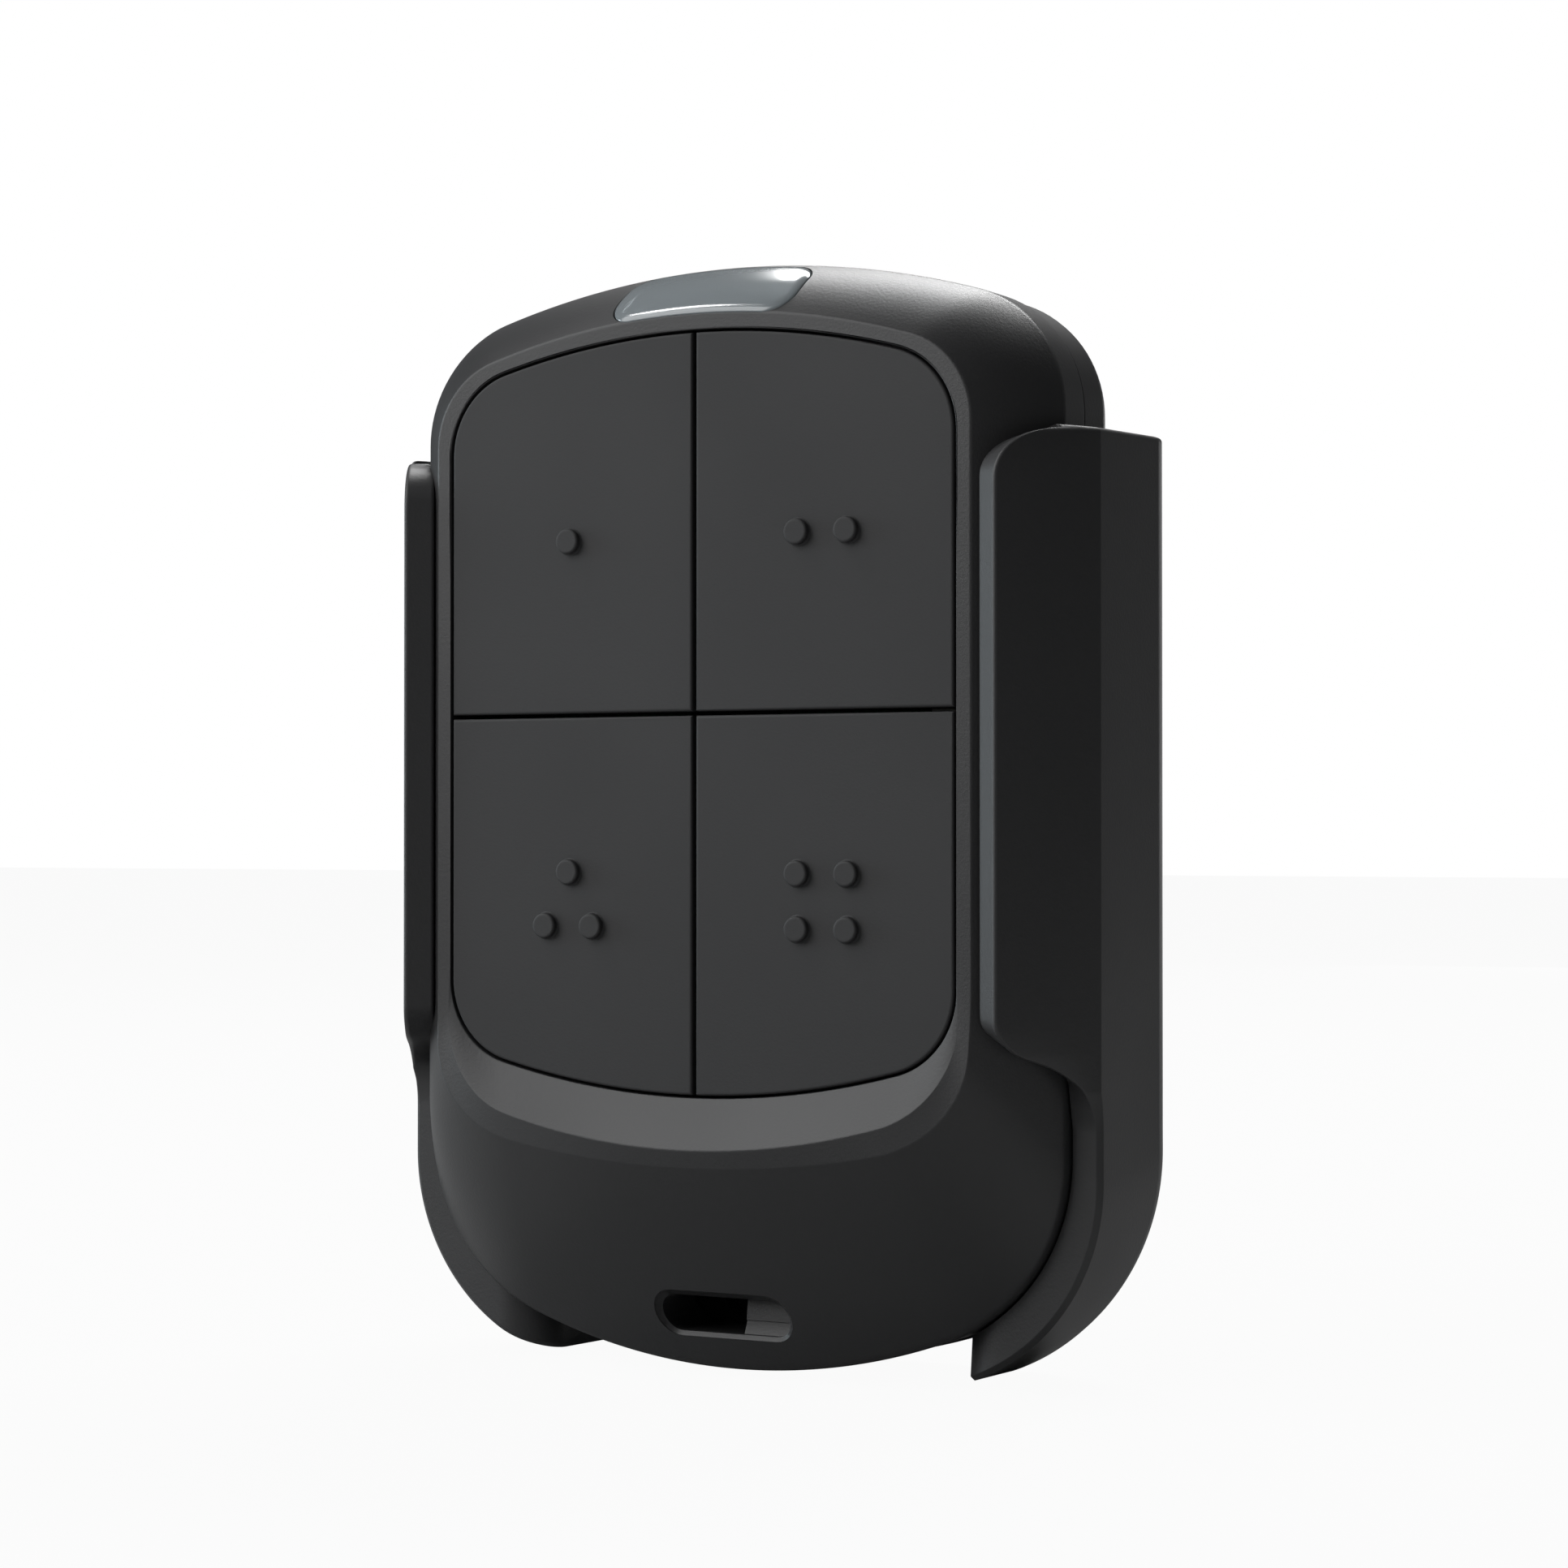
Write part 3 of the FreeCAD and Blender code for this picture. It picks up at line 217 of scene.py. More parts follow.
def laminate(name):
    """Glass-epoxy board under green solder resist: glossy lacquer over a faint woven cloth of 0.6 mm
    pitch."""
    made, tree, out, place = material(name)
    warp, weft = (
        add(
            tree, "ShaderNodeTexWave", {"Vector": place, "Scale": 0.52, "Distortion": 0.4},
            bands_direction=direction,
        ).outputs["Fac"]
        for direction in ("X", "Z")
    )
    cloth = add(tree, "ShaderNodeMath", {0: warp, 1: weft}, operation="MULTIPLY")
    tint = add(tree, "ShaderNodeMix", {
        0: cloth.outputs[0], 6: linear("#0e4326"), 7: linear("#15582f"),
    }, data_type="RGBA")
    bump = add(tree, "ShaderNodeBump", {
        "Height": cloth.outputs[0], "Strength": 0.1, "Distance": 0.02 * MM,
    })
    shader = add(tree, "ShaderNodeBsdfPrincipled", {
        "Base Color": tint.outputs[2], "Roughness": 0.22, "IOR": 1.55, "Normal": bump.outputs[0],
    })
    tree.links.new(shader.outputs[0], out.inputs[0])
    return made


def clear(name, tone):
    """Polished polycarbonate over a white light well: a wet, sharp reflection on a milky grey body."""
    made, tree, out, place = material(name)
    ripple = add(tree, "ShaderNodeTexNoise", {"Vector": place, "Scale": 0.35, "Detail": 1.0})
    bump = add(tree, "ShaderNodeBump", {
        "Height": ripple.outputs["Fac"], "Strength": 0.05, "Distance": 0.05 * MM,
    })
    shader = add(tree, "ShaderNodeBsdfPrincipled", {
        "Base Color": tone, "Roughness": 0.16, "IOR": 1.585, "Transmission Weight": 0.4,
        "Normal": bump.outputs[0], "Coat Weight": 0.6, "Coat Roughness": 0.05,
    })
    tree.links.new(shader.outputs[0], out.inputs[0])
    return made


def crown(half, top, bottom, top_arc, bottom_arc, top_corner, bottom_corner):
    """A closed outline seen from the front: straight sides, a crowned top and bottom and four corner
    arcs that run smoothly into them. Each arc's points are its centre plus its radius along an even
    run of angles; a corner's centre lies on the circle that is its radius inside the crown's arc."""
    x1, x2 = half - top_corner, half - bottom_corner
    middle1, middle2 = top - top_arc, bottom_arc - bottom
    z1 = middle1 + math.sqrt((top_arc - top_corner) ** 2 - x1 * x1)
    z2 = middle2 - math.sqrt((bottom_arc - bottom_corner) ** 2 - x2 * x2)
    turn1, turn2 = math.atan2(z1 - middle1, x1), math.atan2(middle2 - z2, x2)
    pi = math.pi
    side = np.linspace(0, 1, 30, endpoint=False)
    return np.concatenate([
        np.stack([half + 0 * side, z2 + (z1 - z2) * side], 1),
        arc(x1, z1, top_corner, 0, turn1, 18),
        arc(0, middle1, top_arc, turn1, pi - turn1, 40),
        arc(-x1, z1, top_corner, pi - turn1, pi, 18),
        np.stack([-half + 0 * side, z1 + (z2 - z1) * side], 1),
        arc(-x2, z2, bottom_corner, pi, pi + turn2, 24),
        arc(0, middle2, bottom_arc, pi + turn2, 2 * pi - turn2, 44),
        arc(x2, z2, bottom_corner, 2 * pi - turn2, 2 * pi, 24),
    ])


def arc(x, z, radius, first, last, count, closed=False):
    """Points on a circle about (x, z) at even angles from first to last."""
    turn = np.linspace(first, last, count, endpoint=closed)
    return np.stack([x + radius * np.cos(turn), z + radius * np.sin(turn)], 1)


def at(outline, depth):
    """An outline placed at one depth, or at a depth of its own for each point."""
    return np.stack([outline[:, 0], depth + 0 * outline[:, 0], outline[:, 1]], 1)


def softened(corners, radii, closed=True):
    """A section's corner points, one row for each corner and one column for each station, with every
    corner rounded. The round is the circle that touches both neighbouring edges, written as the rational
    quadratic curve over its two touching points and the corner, with the sine of the half angle as
    weight. It takes up at most 0.45 of either edge. One more row on each side of it, 0.05 mm away where
    there is room, keeps the flats flat."""
    corners = np.asarray(corners, float)
    count = len(corners)
    rows = []
    for i in range(count):
        here = corners[i]
        if radii[i] == 0 or (not closed and i in (0, count - 1)):
            rows.append(here[None])
            continue
        back, ahead = corners[i - 1] - here, corners[(i + 1) % count] - here
        near, far = (np.linalg.norm(v, axis=1, keepdims=True) for v in (back, ahead))
        back, ahead = back / np.maximum(near, 1e-9), ahead / np.maximum(far, 1e-9)
        cosine = np.clip((back * ahead).sum(1, keepdims=True), -0.9999, 0.9999)
        weight = np.sqrt((1 - cosine) / 2)
        reach = radii[i] * np.sqrt((1 + cosine) / (1 - cosine))
        reach = np.minimum(reach, 0.45 * np.minimum(near, far))
        rest = np.minimum(0.05, 0.3 * np.minimum(near, far) - 0.1 * reach).clip(0)
        first, last = here + back * reach, here + ahead * reach
        s = np.linspace(0, 1, ROUND_STEPS + 1)[:, None, None]
        under = (1 - s) ** 2 + 2 * weight * s * (1 - s) + s ** 2
        bend = ((1 - s) ** 2 * first + 2 * weight * s * (1 - s) * here + s ** 2 * last) / under
        rows += [(here + back * (reach + rest))[None], bend, (here + ahead * (reach + rest))[None]]
    return np.concatenate(rows)


def skin(rows, wrap_rows=True, wrap_stations=True, caps=False):
    """Quads between neighbouring rows and stations of a grid of points. With caps, the two ends that stay
    open are closed by one flat face each."""
    count, stations = rows.shape[:2]
    index = np.arange(count * stations).reshape(count, stations)
    low = index if wrap_rows else index[:-1]
    high = np.roll(index, -1, 0) if wrap_rows else index[1:]
    if wrap_stations:
        low2, high2 = np.roll(low, -1, 1), np.roll(high, -1, 1)
    else:
        low, low2, high, high2 = low[:, :-1], low[:, 1:], high[:, :-1], high[:, 1:]
    faces = np.stack([low, low2, high2, high], -1).reshape(-1, 4).tolist()
    if caps and wrap_stations:
        faces += [index[0][::-1].tolist(), index[-1].tolist()]
    elif caps:
        faces += [index[:, 0].tolist(), index[:, -1][::-1].tolist()]
    return rows.reshape(-1, 3), faces


def stacked(rows):
    """A solid between closed outlines, from the first to the last, with a flat face at both ends."""
    return skin(np.array(rows), wrap_rows=False, caps=True)


def joined(*parts):
    """Several sets of points and faces as one."""
    points, faces, start = [], [], 0
    for more_points, more_faces in parts:
        points.append(more_points)
        faces += [[start + i for i in face] for face in more_faces]
        start += len(more_points)
    return np.concatenate(points), faces


def turned(profile, x, z):
    """A solid turned about an axis through (x, z) that runs front to back: its profile is a list of
    (radius, depth), and each profile point becomes a circle."""
    return stacked([
        at(arc(x, z, radius, 0, 2 * math.pi, TURNED_POINTS), depth) for radius, depth in profile
    ])


def mesh_of(name, shape):
    """A mesh in metres from points (across, depth, up) in millimetres, closed and turned outwards."""
    points, faces = shape
    points = (points + (0, KEY_PLANE, 0)) * MM
    mesh = bpy.data.meshes.new(name)
    mesh.from_pydata(points.tolist(), [], faces)
    solid = bmesh.new()
    solid.from_mesh(mesh)
    bmesh.ops.remove_doubles(solid, verts=solid.verts, dist=SAME_POINT)
    bmesh.ops.dissolve_degenerate(solid, edges=solid.edges, dist=NO_EDGE)
    bmesh.ops.recalc_face_normals(solid, faces=solid.faces)
    solid.to_mesh(mesh)
    solid.free()
    return mesh


def piece(name, shape, finish, body, *nodes, cutters=(), sharp=35, slot=None):
    """Adds a finished piece: its mesh, what is cut out of it, its shading, its finish, the body it rides
    on and the nodes it replaces."""
    made = bpy.data.objects.new(name, mesh_of(name, shape))
    bpy.context.scene.collection.objects.link(made)
    tools = []
    for number, cutter in enumerate(cutters):
        tool = bpy.data.objects.new(f"{name}_tool{number}", mesh_of("tool", cutter))
        bpy.context.scene.collection.objects.link(tool)
        cut = made.modifiers.new(f"cut{number}", "BOOLEAN")
        cut.operation, cut.object, cut.solver = "DIFFERENCE", tool, "EXACT"
        tools.append(tool)
    if tools:
        bpy.context.view_layer.update()
        graph = bpy.context.evaluated_depsgraph_get()
        mesh = bpy.data.meshes.new_from_object(made.evaluated_get(graph))
        made.modifiers.clear()
        made.data = mesh
        for tool in tools:
            bpy.data.objects.remove(tool)
    made.data.polygons.foreach_set("use_smooth", [True] * len(made.data.polygons))
    made.data.set_sharp_from_angle(angle=math.radians(sharp))
    made.data.materials.clear()
    made.data.materials.append(finish)
    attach(made, body)
    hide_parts(*nodes)


# An outline is (half width, top, bottom, radius of the top, radius of the bottom, upper corners,
# lower corners), in millimetres from the frame's origin. SKIRT is the remote's widest outline, RIM the
# one that its flanks lean towards, RAMP the ramp's front edge and KEYHOLE the keys' opening.
SKIRT = (20.62, 25.77, 37.5, 54.0, 38.0, 7.2, 11.2)
RIM = (16.42, 21.85, 25.57, 45.07, 45.9, 4.6, 6.5)
RAMP = (16.42, 21.75, 24.45, 48.4, 45.2, 5.0, 6.1)
KEYHOLE = (16.29, 21.62, 21.62, 48.3, 49.5, 4.9, 4.9)
SKIRT_FRONT = 4.8
SEAM = 7.7

RISE_START, RISE_RADIUS = -15, 50
TILT_START, TILT_RUN, TILT = -17, 7, 0.4

# The cavity behind the front shell: outlines from the seam forwards, and the depths of its two steps.
WALL = 1.6
CAVITY = (
    (*(size - WALL for size in SKIRT[:2]), 31.5, 47.4, 36.4, 4.9, 8.9),
    (18.65, 24.0, 29.9, 47.25, 36.25, 4.75, 8.75),
    (16.79, 22.14, 28.04, 45.39, 34.39, 2.89, 6.89),
)
CAVITY_STEP, CAVITY_FRONT = 4.6, 1.9
TONGUE, TONGUE_INSET = 0.9, 0.5

# The keyring slot: its middle across, half its length, half its height and its height on the remote.
# Its floor has an upper and a lower half, each with its depth and its slope at a step below the middle.
SLOT = (0.22, 4.12, 1.1, -34.2)
SLOT_MOUTH_END, SLOT_FLOOR_START, SLOT_OPEN_START = 4.15, 4.05, 3.95
SLOT_STEP = 0.35
SLOT_UPPER, SLOT_LOWER = (4.5, 0.12), (4.6, 0.45)
SLOT_OPEN_TO = 0.95

# The light window: half its width, its front and rear depth, its corners, and its points across and
# along.
WINDOW = (5.85, 0.05, 4.45, 1.6)
WINDOW_POINTS = (81, 61)
WINDOW_PROUD, WINDOW_DROP, WINDOW_UNDER = 0.14, 0.22, -0.5
SEAT_GAP, SEAT_TOP, SEAT_FLOOR = 0.07, 1.5, -0.55

# A key's plate ends at KEY_BACK. Behind it lie its flange, wider by FLANGE, and its post.
KEY_BACK = 1.97
FLANGE, FLANGE_FRONT, FLANGE_BACK = 0.5, 1.96, 2.6
POST = ((1.9, 2.5), (1.9, 3.05))
# A dot's foot by (how far outside its radius, depth), then the dots' pitch and the rounding of their edge.
DOT_FOOT = ((0.16, 0.03), (0.06, -0.01), (0.0, -0.08))
DOT_PITCH, DOT_SOFT = 3.08, 0.14

# The cradle: the well inside its walls, their outside, and the wider outside at the wall it hangs on.
WELL = (20.75, 25.9, 37.63, 54.13, 38.13, 7.33, 11.33)
TUB = (22.45, 27.5, 39.95, 55.7, 40.2, 8.9, 12.0)
TUB_BACK = (22.75, 27.5, 40.2, 55.7, 40.5, 8.9, 14.8)
WELL_FRONT = SKIRT_FRONT + 0.1
TOP, TOP_REAR_RISE = 15.5, 0.3
LIP_FRONT, LIP_SETBACK, LIP_END, LIP_ROLL = 5.5, 0.3, 13.6, 3.0
# A wing's two front edges: next to the remote, and the foremost one outside it. The upper corner of
# each is (where it starts, its height, its depth).
TIP_ACROSS, TIP_DEPTH, TIP_CORNER = 17.54, 0.15, (12.6, 2.5, 3.6)
NOSE_ACROSS, NOSE_DEPTH, NOSE_CORNER = 18.96, -0.87, (12.4, 2.9, 3.9)
PLATE_FRONT = FOB_BACK + 0.3
PLATE_BOTTOM, PLATE_INSET = -36.6, 6.0

# Holes by (radius, depth): over a housing screw, whose head has a radius of its own, and for a wall
# screw, with the heights of the two on the plate.
SCREW_HEAD = 1.7
SCREW_SEAT = (
    (1.0, 8.0), (1.0, FOB_BACK - 1), (1.85, FOB_BACK - 1), (1.85, FOB_BACK - 0.1), (2.1, FOB_BACK + 0.15),
)
WALL_SCREW_HOLE = (
    (3.6, PLATE_FRONT - 0.2), (3.4, PLATE_FRONT), (1.75, PLATE_FRONT + 1.65), (1.75, CRADLE_BACK + 1),
)
WALL_SCREWS = (9.0, -21.0)


def rise(z):
    """How far the rim stands forward of the keys at a height: nothing above RISE_START, and from there
    down the sagitta of a circle of RISE_RADIUS."""
    down = np.clip(RISE_START - z, 0, 15)
    return RISE_RADIUS - np.sqrt(RISE_RADIUS ** 2 - down * down)


def tilt(z):
    """How far the rim's inner edge stands forward of its outer edge at a height: nothing above
    TILT_START, and from there down a half cosine that reaches TILT after TILT_RUN."""
    return TILT / 2 * (1 - np.cos(np.clip((TILT_START - z) / TILT_RUN, 0, 1) * math.pi))


def grown(sizes, by):
    """The sizes of an outline that runs a constant distance outside another."""
    return tuple(size + by for size in sizes)


def chin_depth(x, z):
    """Depth of the chin's face at a point: the straight blend between the arc of the rim's lower
    edge and the arc of the remote's lowest outline, along the line through that point."""
    upper = RIM[4] - RIM[2] - np.sqrt(RIM[4] ** 2 - x * x)
    lower = SKIRT[4] - SKIRT[2] - np.sqrt(SKIRT[4] ** 2 - x * x)
    return (SKIRT_FRONT + CHIN_RISE) * (upper - z) / (upper - lower) - CHIN_RISE


def slot_ends(by):
    """The keyring slot's two half circles, right and left, grown by a distance."""
    middle, half, high, down = SLOT
    right = arc(middle + half - high, down, high + by, -math.pi / 2, math.pi / 2, 14, closed=True)
    left = arc(middle - half + high, down, high + by, math.pi / 2, 1.5 * math.pi, 14, closed=True)
    return right, left


def slot_cutters(chamfer):
    """Four solids that cut the keyring slot: two for the upper and the lower half of its sloping floor,
    one that goes right through on the left, and its chamfered mouth, which follows the chin. The first
    three stay a few thousandths of a millimetre inside the mouth, so that no walls coincide."""
    middle, half, high, down = SLOT
    rings = []
    for by, sink in ((chamfer * 3, -1.6), (chamfer, -0.14), (0.0, chamfer - 0.14)):
        outline = np.concatenate(slot_ends(by))
        rings.append(at(outline, chin_depth(outline[:, 0], outline[:, 1]) + sink))
    mouth = stacked(rings + [at(np.concatenate(slot_ends(0)), SLOT_MOUTH_END)])

    inside, step = 0.004, down - SLOT_STEP
    right, left = slot_ends(-inside)
    reach = half - high + math.sqrt((high - inside) ** 2 - SLOT_STEP ** 2)
    ends = np.array([[middle + reach, step], [middle - reach, step]])
    upper = [ends[:1], right[right[:, 1] > step], left[left[:, 1] > step], ends[1:]]
    lower = [right[right[:, 1] < step], ends + [0, 0.02], left[left[:, 1] < step]]
    floors = []
    for parts, (sunk, lean) in ((upper, SLOT_UPPER), (lower, SLOT_LOWER)):
        outline = np.concatenate(parts)
        sloping = sunk + lean * (outline[:, 1] - step)
        floors.append(stacked([at(outline, SLOT_FLOOR_START), at(outline, sloping)]))

    inside = 0.003
    ends = [[SLOT_OPEN_TO, down - high + inside], [SLOT_OPEN_TO, down + high - inside]]
    through = np.concatenate([slot_ends(-inside)[1], ends])
    deep = stacked([at(through, SLOT_OPEN_START), at(through, FOB_BACK + 1)])
    return *floors, deep, mouth


def front_shape(sizes):
    """The front shell as one ring-shaped surface: a section carried round the keys' opening, whose
    corners are points of crowned outlines at their depths. The rim's corner is found on the straight
    line from the skirt to the foremost outline, where the line meets the rising rim. Between rim and
    skirt the flank swells outwards by a parabola. A thin tongue reaches into the back shell."""
    skirt, foremost, keyhole, ramp = (crown(*outline) for outline in (SKIRT, RIM, KEYHOLE, RAMP))
    share = np.full(len(skirt), 0.85)
    for _ in range(30):
        height = skirt[:, 1] + (foremost[:, 1] - skirt[:, 1]) * share
        share = (SKIRT_FRONT + rise(height)) / (SKIRT_FRONT + CHIN_RISE)
    rim = skirt + (foremost - skirt) * share[:, None]
    low, high = at(skirt, SKIRT_FRONT), at(rim, -rise(rim[:, 1]))
    away = np.cross(np.roll(low, -1, 0) - np.roll(low, 1, 0), high - low)
    away /= np.linalg.norm(away, axis=1, keepdims=True)
    away *= np.sign(away[:, 1:2]) * -1
    flank = [
        high + (low - high) * part + away * sizes.flank_crown * 4 * part * (1 - part)
        for part in np.linspace(0.1, 0.9, 17)
    ]
    end = SEAM - sizes.seam / 2
    tongue = crown(*grown(SKIRT, -TONGUE_INSET))
    behind, middle, before = (crown(*outline) for outline in CAVITY)
    corners = [
        at(keyhole, CAVITY_FRONT),
        at(keyhole, 0.04 * np.clip(RISE_START - keyhole[:, 1], 0, 1)),
        at(ramp, -rise(ramp[:, 1]) - tilt(ramp[:, 1])),
        high,
        *flank,
        low,
        at(skirt, end),
        at(tongue, end),
        at(tongue, SEAM + TONGUE),
        at(crown(*grown(SKIRT, -WALL)), SEAM + TONGUE),
        at(behind, CAVITY_STEP),
        at(middle, CAVITY_STEP),
        at(before, CAVITY_FRONT),
    ]
    radii = [0, 0.12, sizes.ramp_soft, sizes.rim_soft, *[0] * len(flank), sizes.skirt_soft, 0.1]
    return skin(softened(corners, radii + [0] * (len(corners) - len(radii))))


def back_shape(sizes):
    """The back shell as a closed tray: the seam's inner edge, its outer edge, and the rounded back."""
    inner, outer = crown(*grown(SKIRT, -0.6)), crown(*grown(SKIRT, -0.13))
    start = SEAM + sizes.seam / 2
    corners = [
        at(inner, FOB_BACK - 1.2), at(inner, start), at(outer, start), at(outer, FOB_BACK),
        at(crown(*grown(SKIRT, -4.0)), FOB_BACK),
    ]
    return stacked(softened(corners, [0, 0, 0.1, sizes.back_soft, 0], closed=False))


def window_grid(grow, proud, edge=1.0, drop=0.0, swell=0.0):
    """A grid over the flank's top, inside a rounded rectangle. Across it runs by the sine of even
    angles; along it the depth runs from the front border to the rear border, whose corners are arcs.
    The height is that of the crowned top at the depth, and falls along the leaning flank. The surface
    swells by the flank's parabola, and near its border it drops by a quarter ellipse of the distance
    to the border."""
    half, front, rear, corner = (
        size + by for size, by in zip(WINDOW, (grow, -grow, grow, grow))
    )
    across = half * np.sin(np.linspace(-1, 1, WINDOW_POINTS[0]) * math.pi / 2)
    along = (1 - np.cos(np.linspace(0, 1, WINDOW_POINTS[1]) * math.pi)) / 2
    x = np.repeat(across[None], len(along), 0)
    past = np.clip(np.abs(x) - half + corner, 0, corner)
    notch = corner - np.sqrt(np.clip(corner ** 2 - past ** 2, 0, None))
    depth = front + notch + (rear - front - 2 * notch) * along[:, None]
    lean = (SKIRT[1] - RIM[1]) / (SKIRT_FRONT + CHIN_RISE)
    fall = lean * (SKIRT_FRONT - depth)
    radius = SKIRT[3] - 2 * fall
    height = SKIRT[1] - fall - radius + np.sqrt(radius ** 2 - x * x)
    middle, reach = (front + rear) / 2, (rear - front) / 2
    part = np.clip(depth / SKIRT_FRONT, 0, 1)
    raised = proud + swell * 4 * part * (1 - part)
    if drop:
        beside, beyond = np.abs(x) - half + corner, np.abs(depth - middle) - reach + corner
        border = corner - np.hypot(np.clip(beside, 0, None), np.clip(beyond, 0, None))
        border -= np.clip(np.maximum(beside, beyond), None, 0)
        raised = raised - drop + drop * np.sqrt(1 - np.clip(1 - border / edge, 0, 1) ** 2)
    level = math.sqrt(1 + lean ** 2)
    return np.stack([x, depth - raised * lean / level, height + raised / level], -1)


def slab(high, low):
    """A solid between two grids of points."""
    return skin(np.concatenate([high, low[::-1]]), wrap_stations=False, caps=True)


def window_shape(sizes):
    """The light window: its swollen outer face, and the same form a little lower as its inner face."""
    outside = window_grid(0, WINDOW_PROUD, sizes.window_edge, WINDOW_DROP, sizes.window_swell)
    return slab(outside, window_grid(0, WINDOW_UNDER))


def window_seat():
    """The cut that the light window sits in: its border, a little wider all round."""
    return slab(window_grid(SEAT_GAP, SEAT_TOP), window_grid(SEAT_GAP, SEAT_FLOOR))


def quarter(side, end, inset, between, reach=0.0):
    """One quarter of the keys' opening, pulled in by a distance: two straight inner edges, a straight
    outer side, a corner arc and a crowned edge. Between is added to the inner edges' distance from the
    middle, and reach pushes the outer edges out again."""
    half, top, corner = (KEYHOLE[i] - inset + reach for i in (0, 1, 5))
    bow = (KEYHOLE[3] if end > 0 else KEYHOLE[4]) - inset + reach
    inner = inset + between
    x, middle = half - corner, top - bow
    z = middle + math.sqrt((bow - corner) ** 2 - x * x)
    turn = math.atan2(z - middle, x)
    begin = math.acos(inner / bow)
    outline = np.concatenate([
        [[inner, inner], [half / 2, inner], [half, inner], [half, z / 2]],
        arc(x, z, corner, 0, turn, 18),
        arc(0, middle, bow, turn, begin, 24, closed=True),
        [[inner, top / 2]],
    ])
    return outline * (side, end)


def key_shape(sizes, side, end, dots, middle):
    """A key: a plate with a rounded front edge, its hidden flange and post, and raised dots. The plate's
    section follows the quarter outline at growing insets; a dot's profile is turned about its axis and
    flares into the plate. A row just past each end of the rounding keeps the flats flat."""
    gap, soft, between = sizes.border, sizes.edge, sizes.gap / 2 - sizes.border
    turns = np.linspace(0, math.pi / 2, 6)
    rows = [at(quarter(side, end, gap, between), depth) for depth in (KEY_BACK, soft + 0.04)]
    rows += [
        at(quarter(side, end, gap + soft * (1 - math.cos(t)), between), soft * (1 - math.sin(t)))
        for t in turns
    ]
    rows.append(at(quarter(side, end, gap + soft + 0.05, between), 0.0))
    flange = quarter(side, end, gap, between, FLANGE)
    shapes = [
        stacked(rows), stacked([at(flange, FLANGE_FRONT), at(flange, FLANGE_BACK)]),
        turned(POST, *middle),
    ]
    high, radius = sizes.dot_height, sizes.dot_radius
    profile = [(radius + wider, depth) for wider, depth in DOT_FOOT]
    profile += [
        (radius - DOT_SOFT * (1 - math.cos(t)), -high + DOT_SOFT * (1 - math.sin(t))) for t in turns
    ]
    profile.append((radius - DOT_SOFT - 0.06, -high))
    shapes += [
        turned(profile, middle[0] + across * DOT_PITCH, middle[1] + up * DOT_PITCH)
        for across, up in dots
    ]
    return joined(*shapes)


def wing_depth(z, front, corner, settle):
    """The depth at which an edge of the cradle's wing runs, at a height: its upper corner is a quarter
    ellipse, and its lower end falls back in an S, drawn as the mean of a polyline over a short run."""
    start, tall, deep = corner
    lift = np.clip((z - start) / tall, 0, 1)
    upper = front + deep * (1 - np.sqrt(1 - lift ** 2))
    heights, depths = zip(*settle)
    shifts = np.linspace(-0.2, 0.2, 9)
    lower = np.mean([np.interp(-z + shift, heights, depths) for shift in shifts], axis=0)
    return np.maximum(upper, lower)


def wing_nose(z):
    """Depth of the wing's foremost edge. The polyline is (height below the origin, depth)."""
    settle = [
        (17.1, -0.87), (17.5, -0.78), (18.0, -0.45), (18.3, -0.15), (18.65, 0.2), (18.9, 0.7),
        (19.1, 1.4), (19.3, 2.0), (19.52, 2.5), (19.9, 3.25), (20.58, 4.25), (21.6, 5.05),
        (22.5, 5.42), (23.0, 5.5),
    ]
    return wing_depth(z, NOSE_DEPTH, NOSE_CORNER, settle)


def wing_tip(z):
    """Depth of the wing's edge next to the remote. The polyline is (height below the origin, depth)."""
    settle = [
        (16.6, 0.15), (17.0, 0.2), (17.4, 0.4), (18.0, 1.1), (18.5, 1.8), (18.9, 2.5), (19.2, 3.3),
        (19.6, 4.2), (20.1, 4.75), (20.4, 4.9), (21.6, 5.2), (22.9, 5.5),
    ]
    return wing_depth(z, TIP_DEPTH, TIP_CORNER, settle)


def low_edge(x, sizes):
    """Height of a crowned outline's lower edge: its corner circle, and nearer the middle its bottom
    arc."""
    half, bottom, bow, corner = sizes[0], sizes[2], sizes[4], sizes[6]
    reach, middle = half - corner, bow - bottom
    z = middle - math.sqrt((bow - corner) ** 2 - reach ** 2)
    meet = reach * bow / (bow - corner)
    on_corner = z - np.sqrt(np.clip(corner ** 2 - (x - reach) ** 2, 0, None))
    return np.where(x > meet, on_corner, middle - np.sqrt(bow ** 2 - x * x))


def tub_path(sizes, heights):
    """The tub's wall as seen from the front, from the top down: the straight side, the lower corner by
    even angles, and the rounded end of the lip by the angles of its roll."""
    half, bottom, bow, corner = sizes[0], sizes[2], sizes[4], sizes[6]
    reach = half - corner
    z = bow - bottom - math.sqrt((bow - corner) ** 2 - reach ** 2)
    side = np.stack([half + 0 * heights, heights], 1)
    side[-1, 1] = z
    last = math.acos((LIP_END + LIP_ROLL - reach) / corner)
    turn = np.linspace(0, -last, 34)[1:]
    bend = np.stack([reach + corner * np.cos(turn), z + corner * np.sin(turn)], 1)
    roll = np.linspace(0, math.pi / 2, 15)[1:]
    x = LIP_END + LIP_ROLL * (1 - np.sin(roll))
    return np.concatenate([side, bend, np.stack([x, low_edge(x, sizes)], 1)])


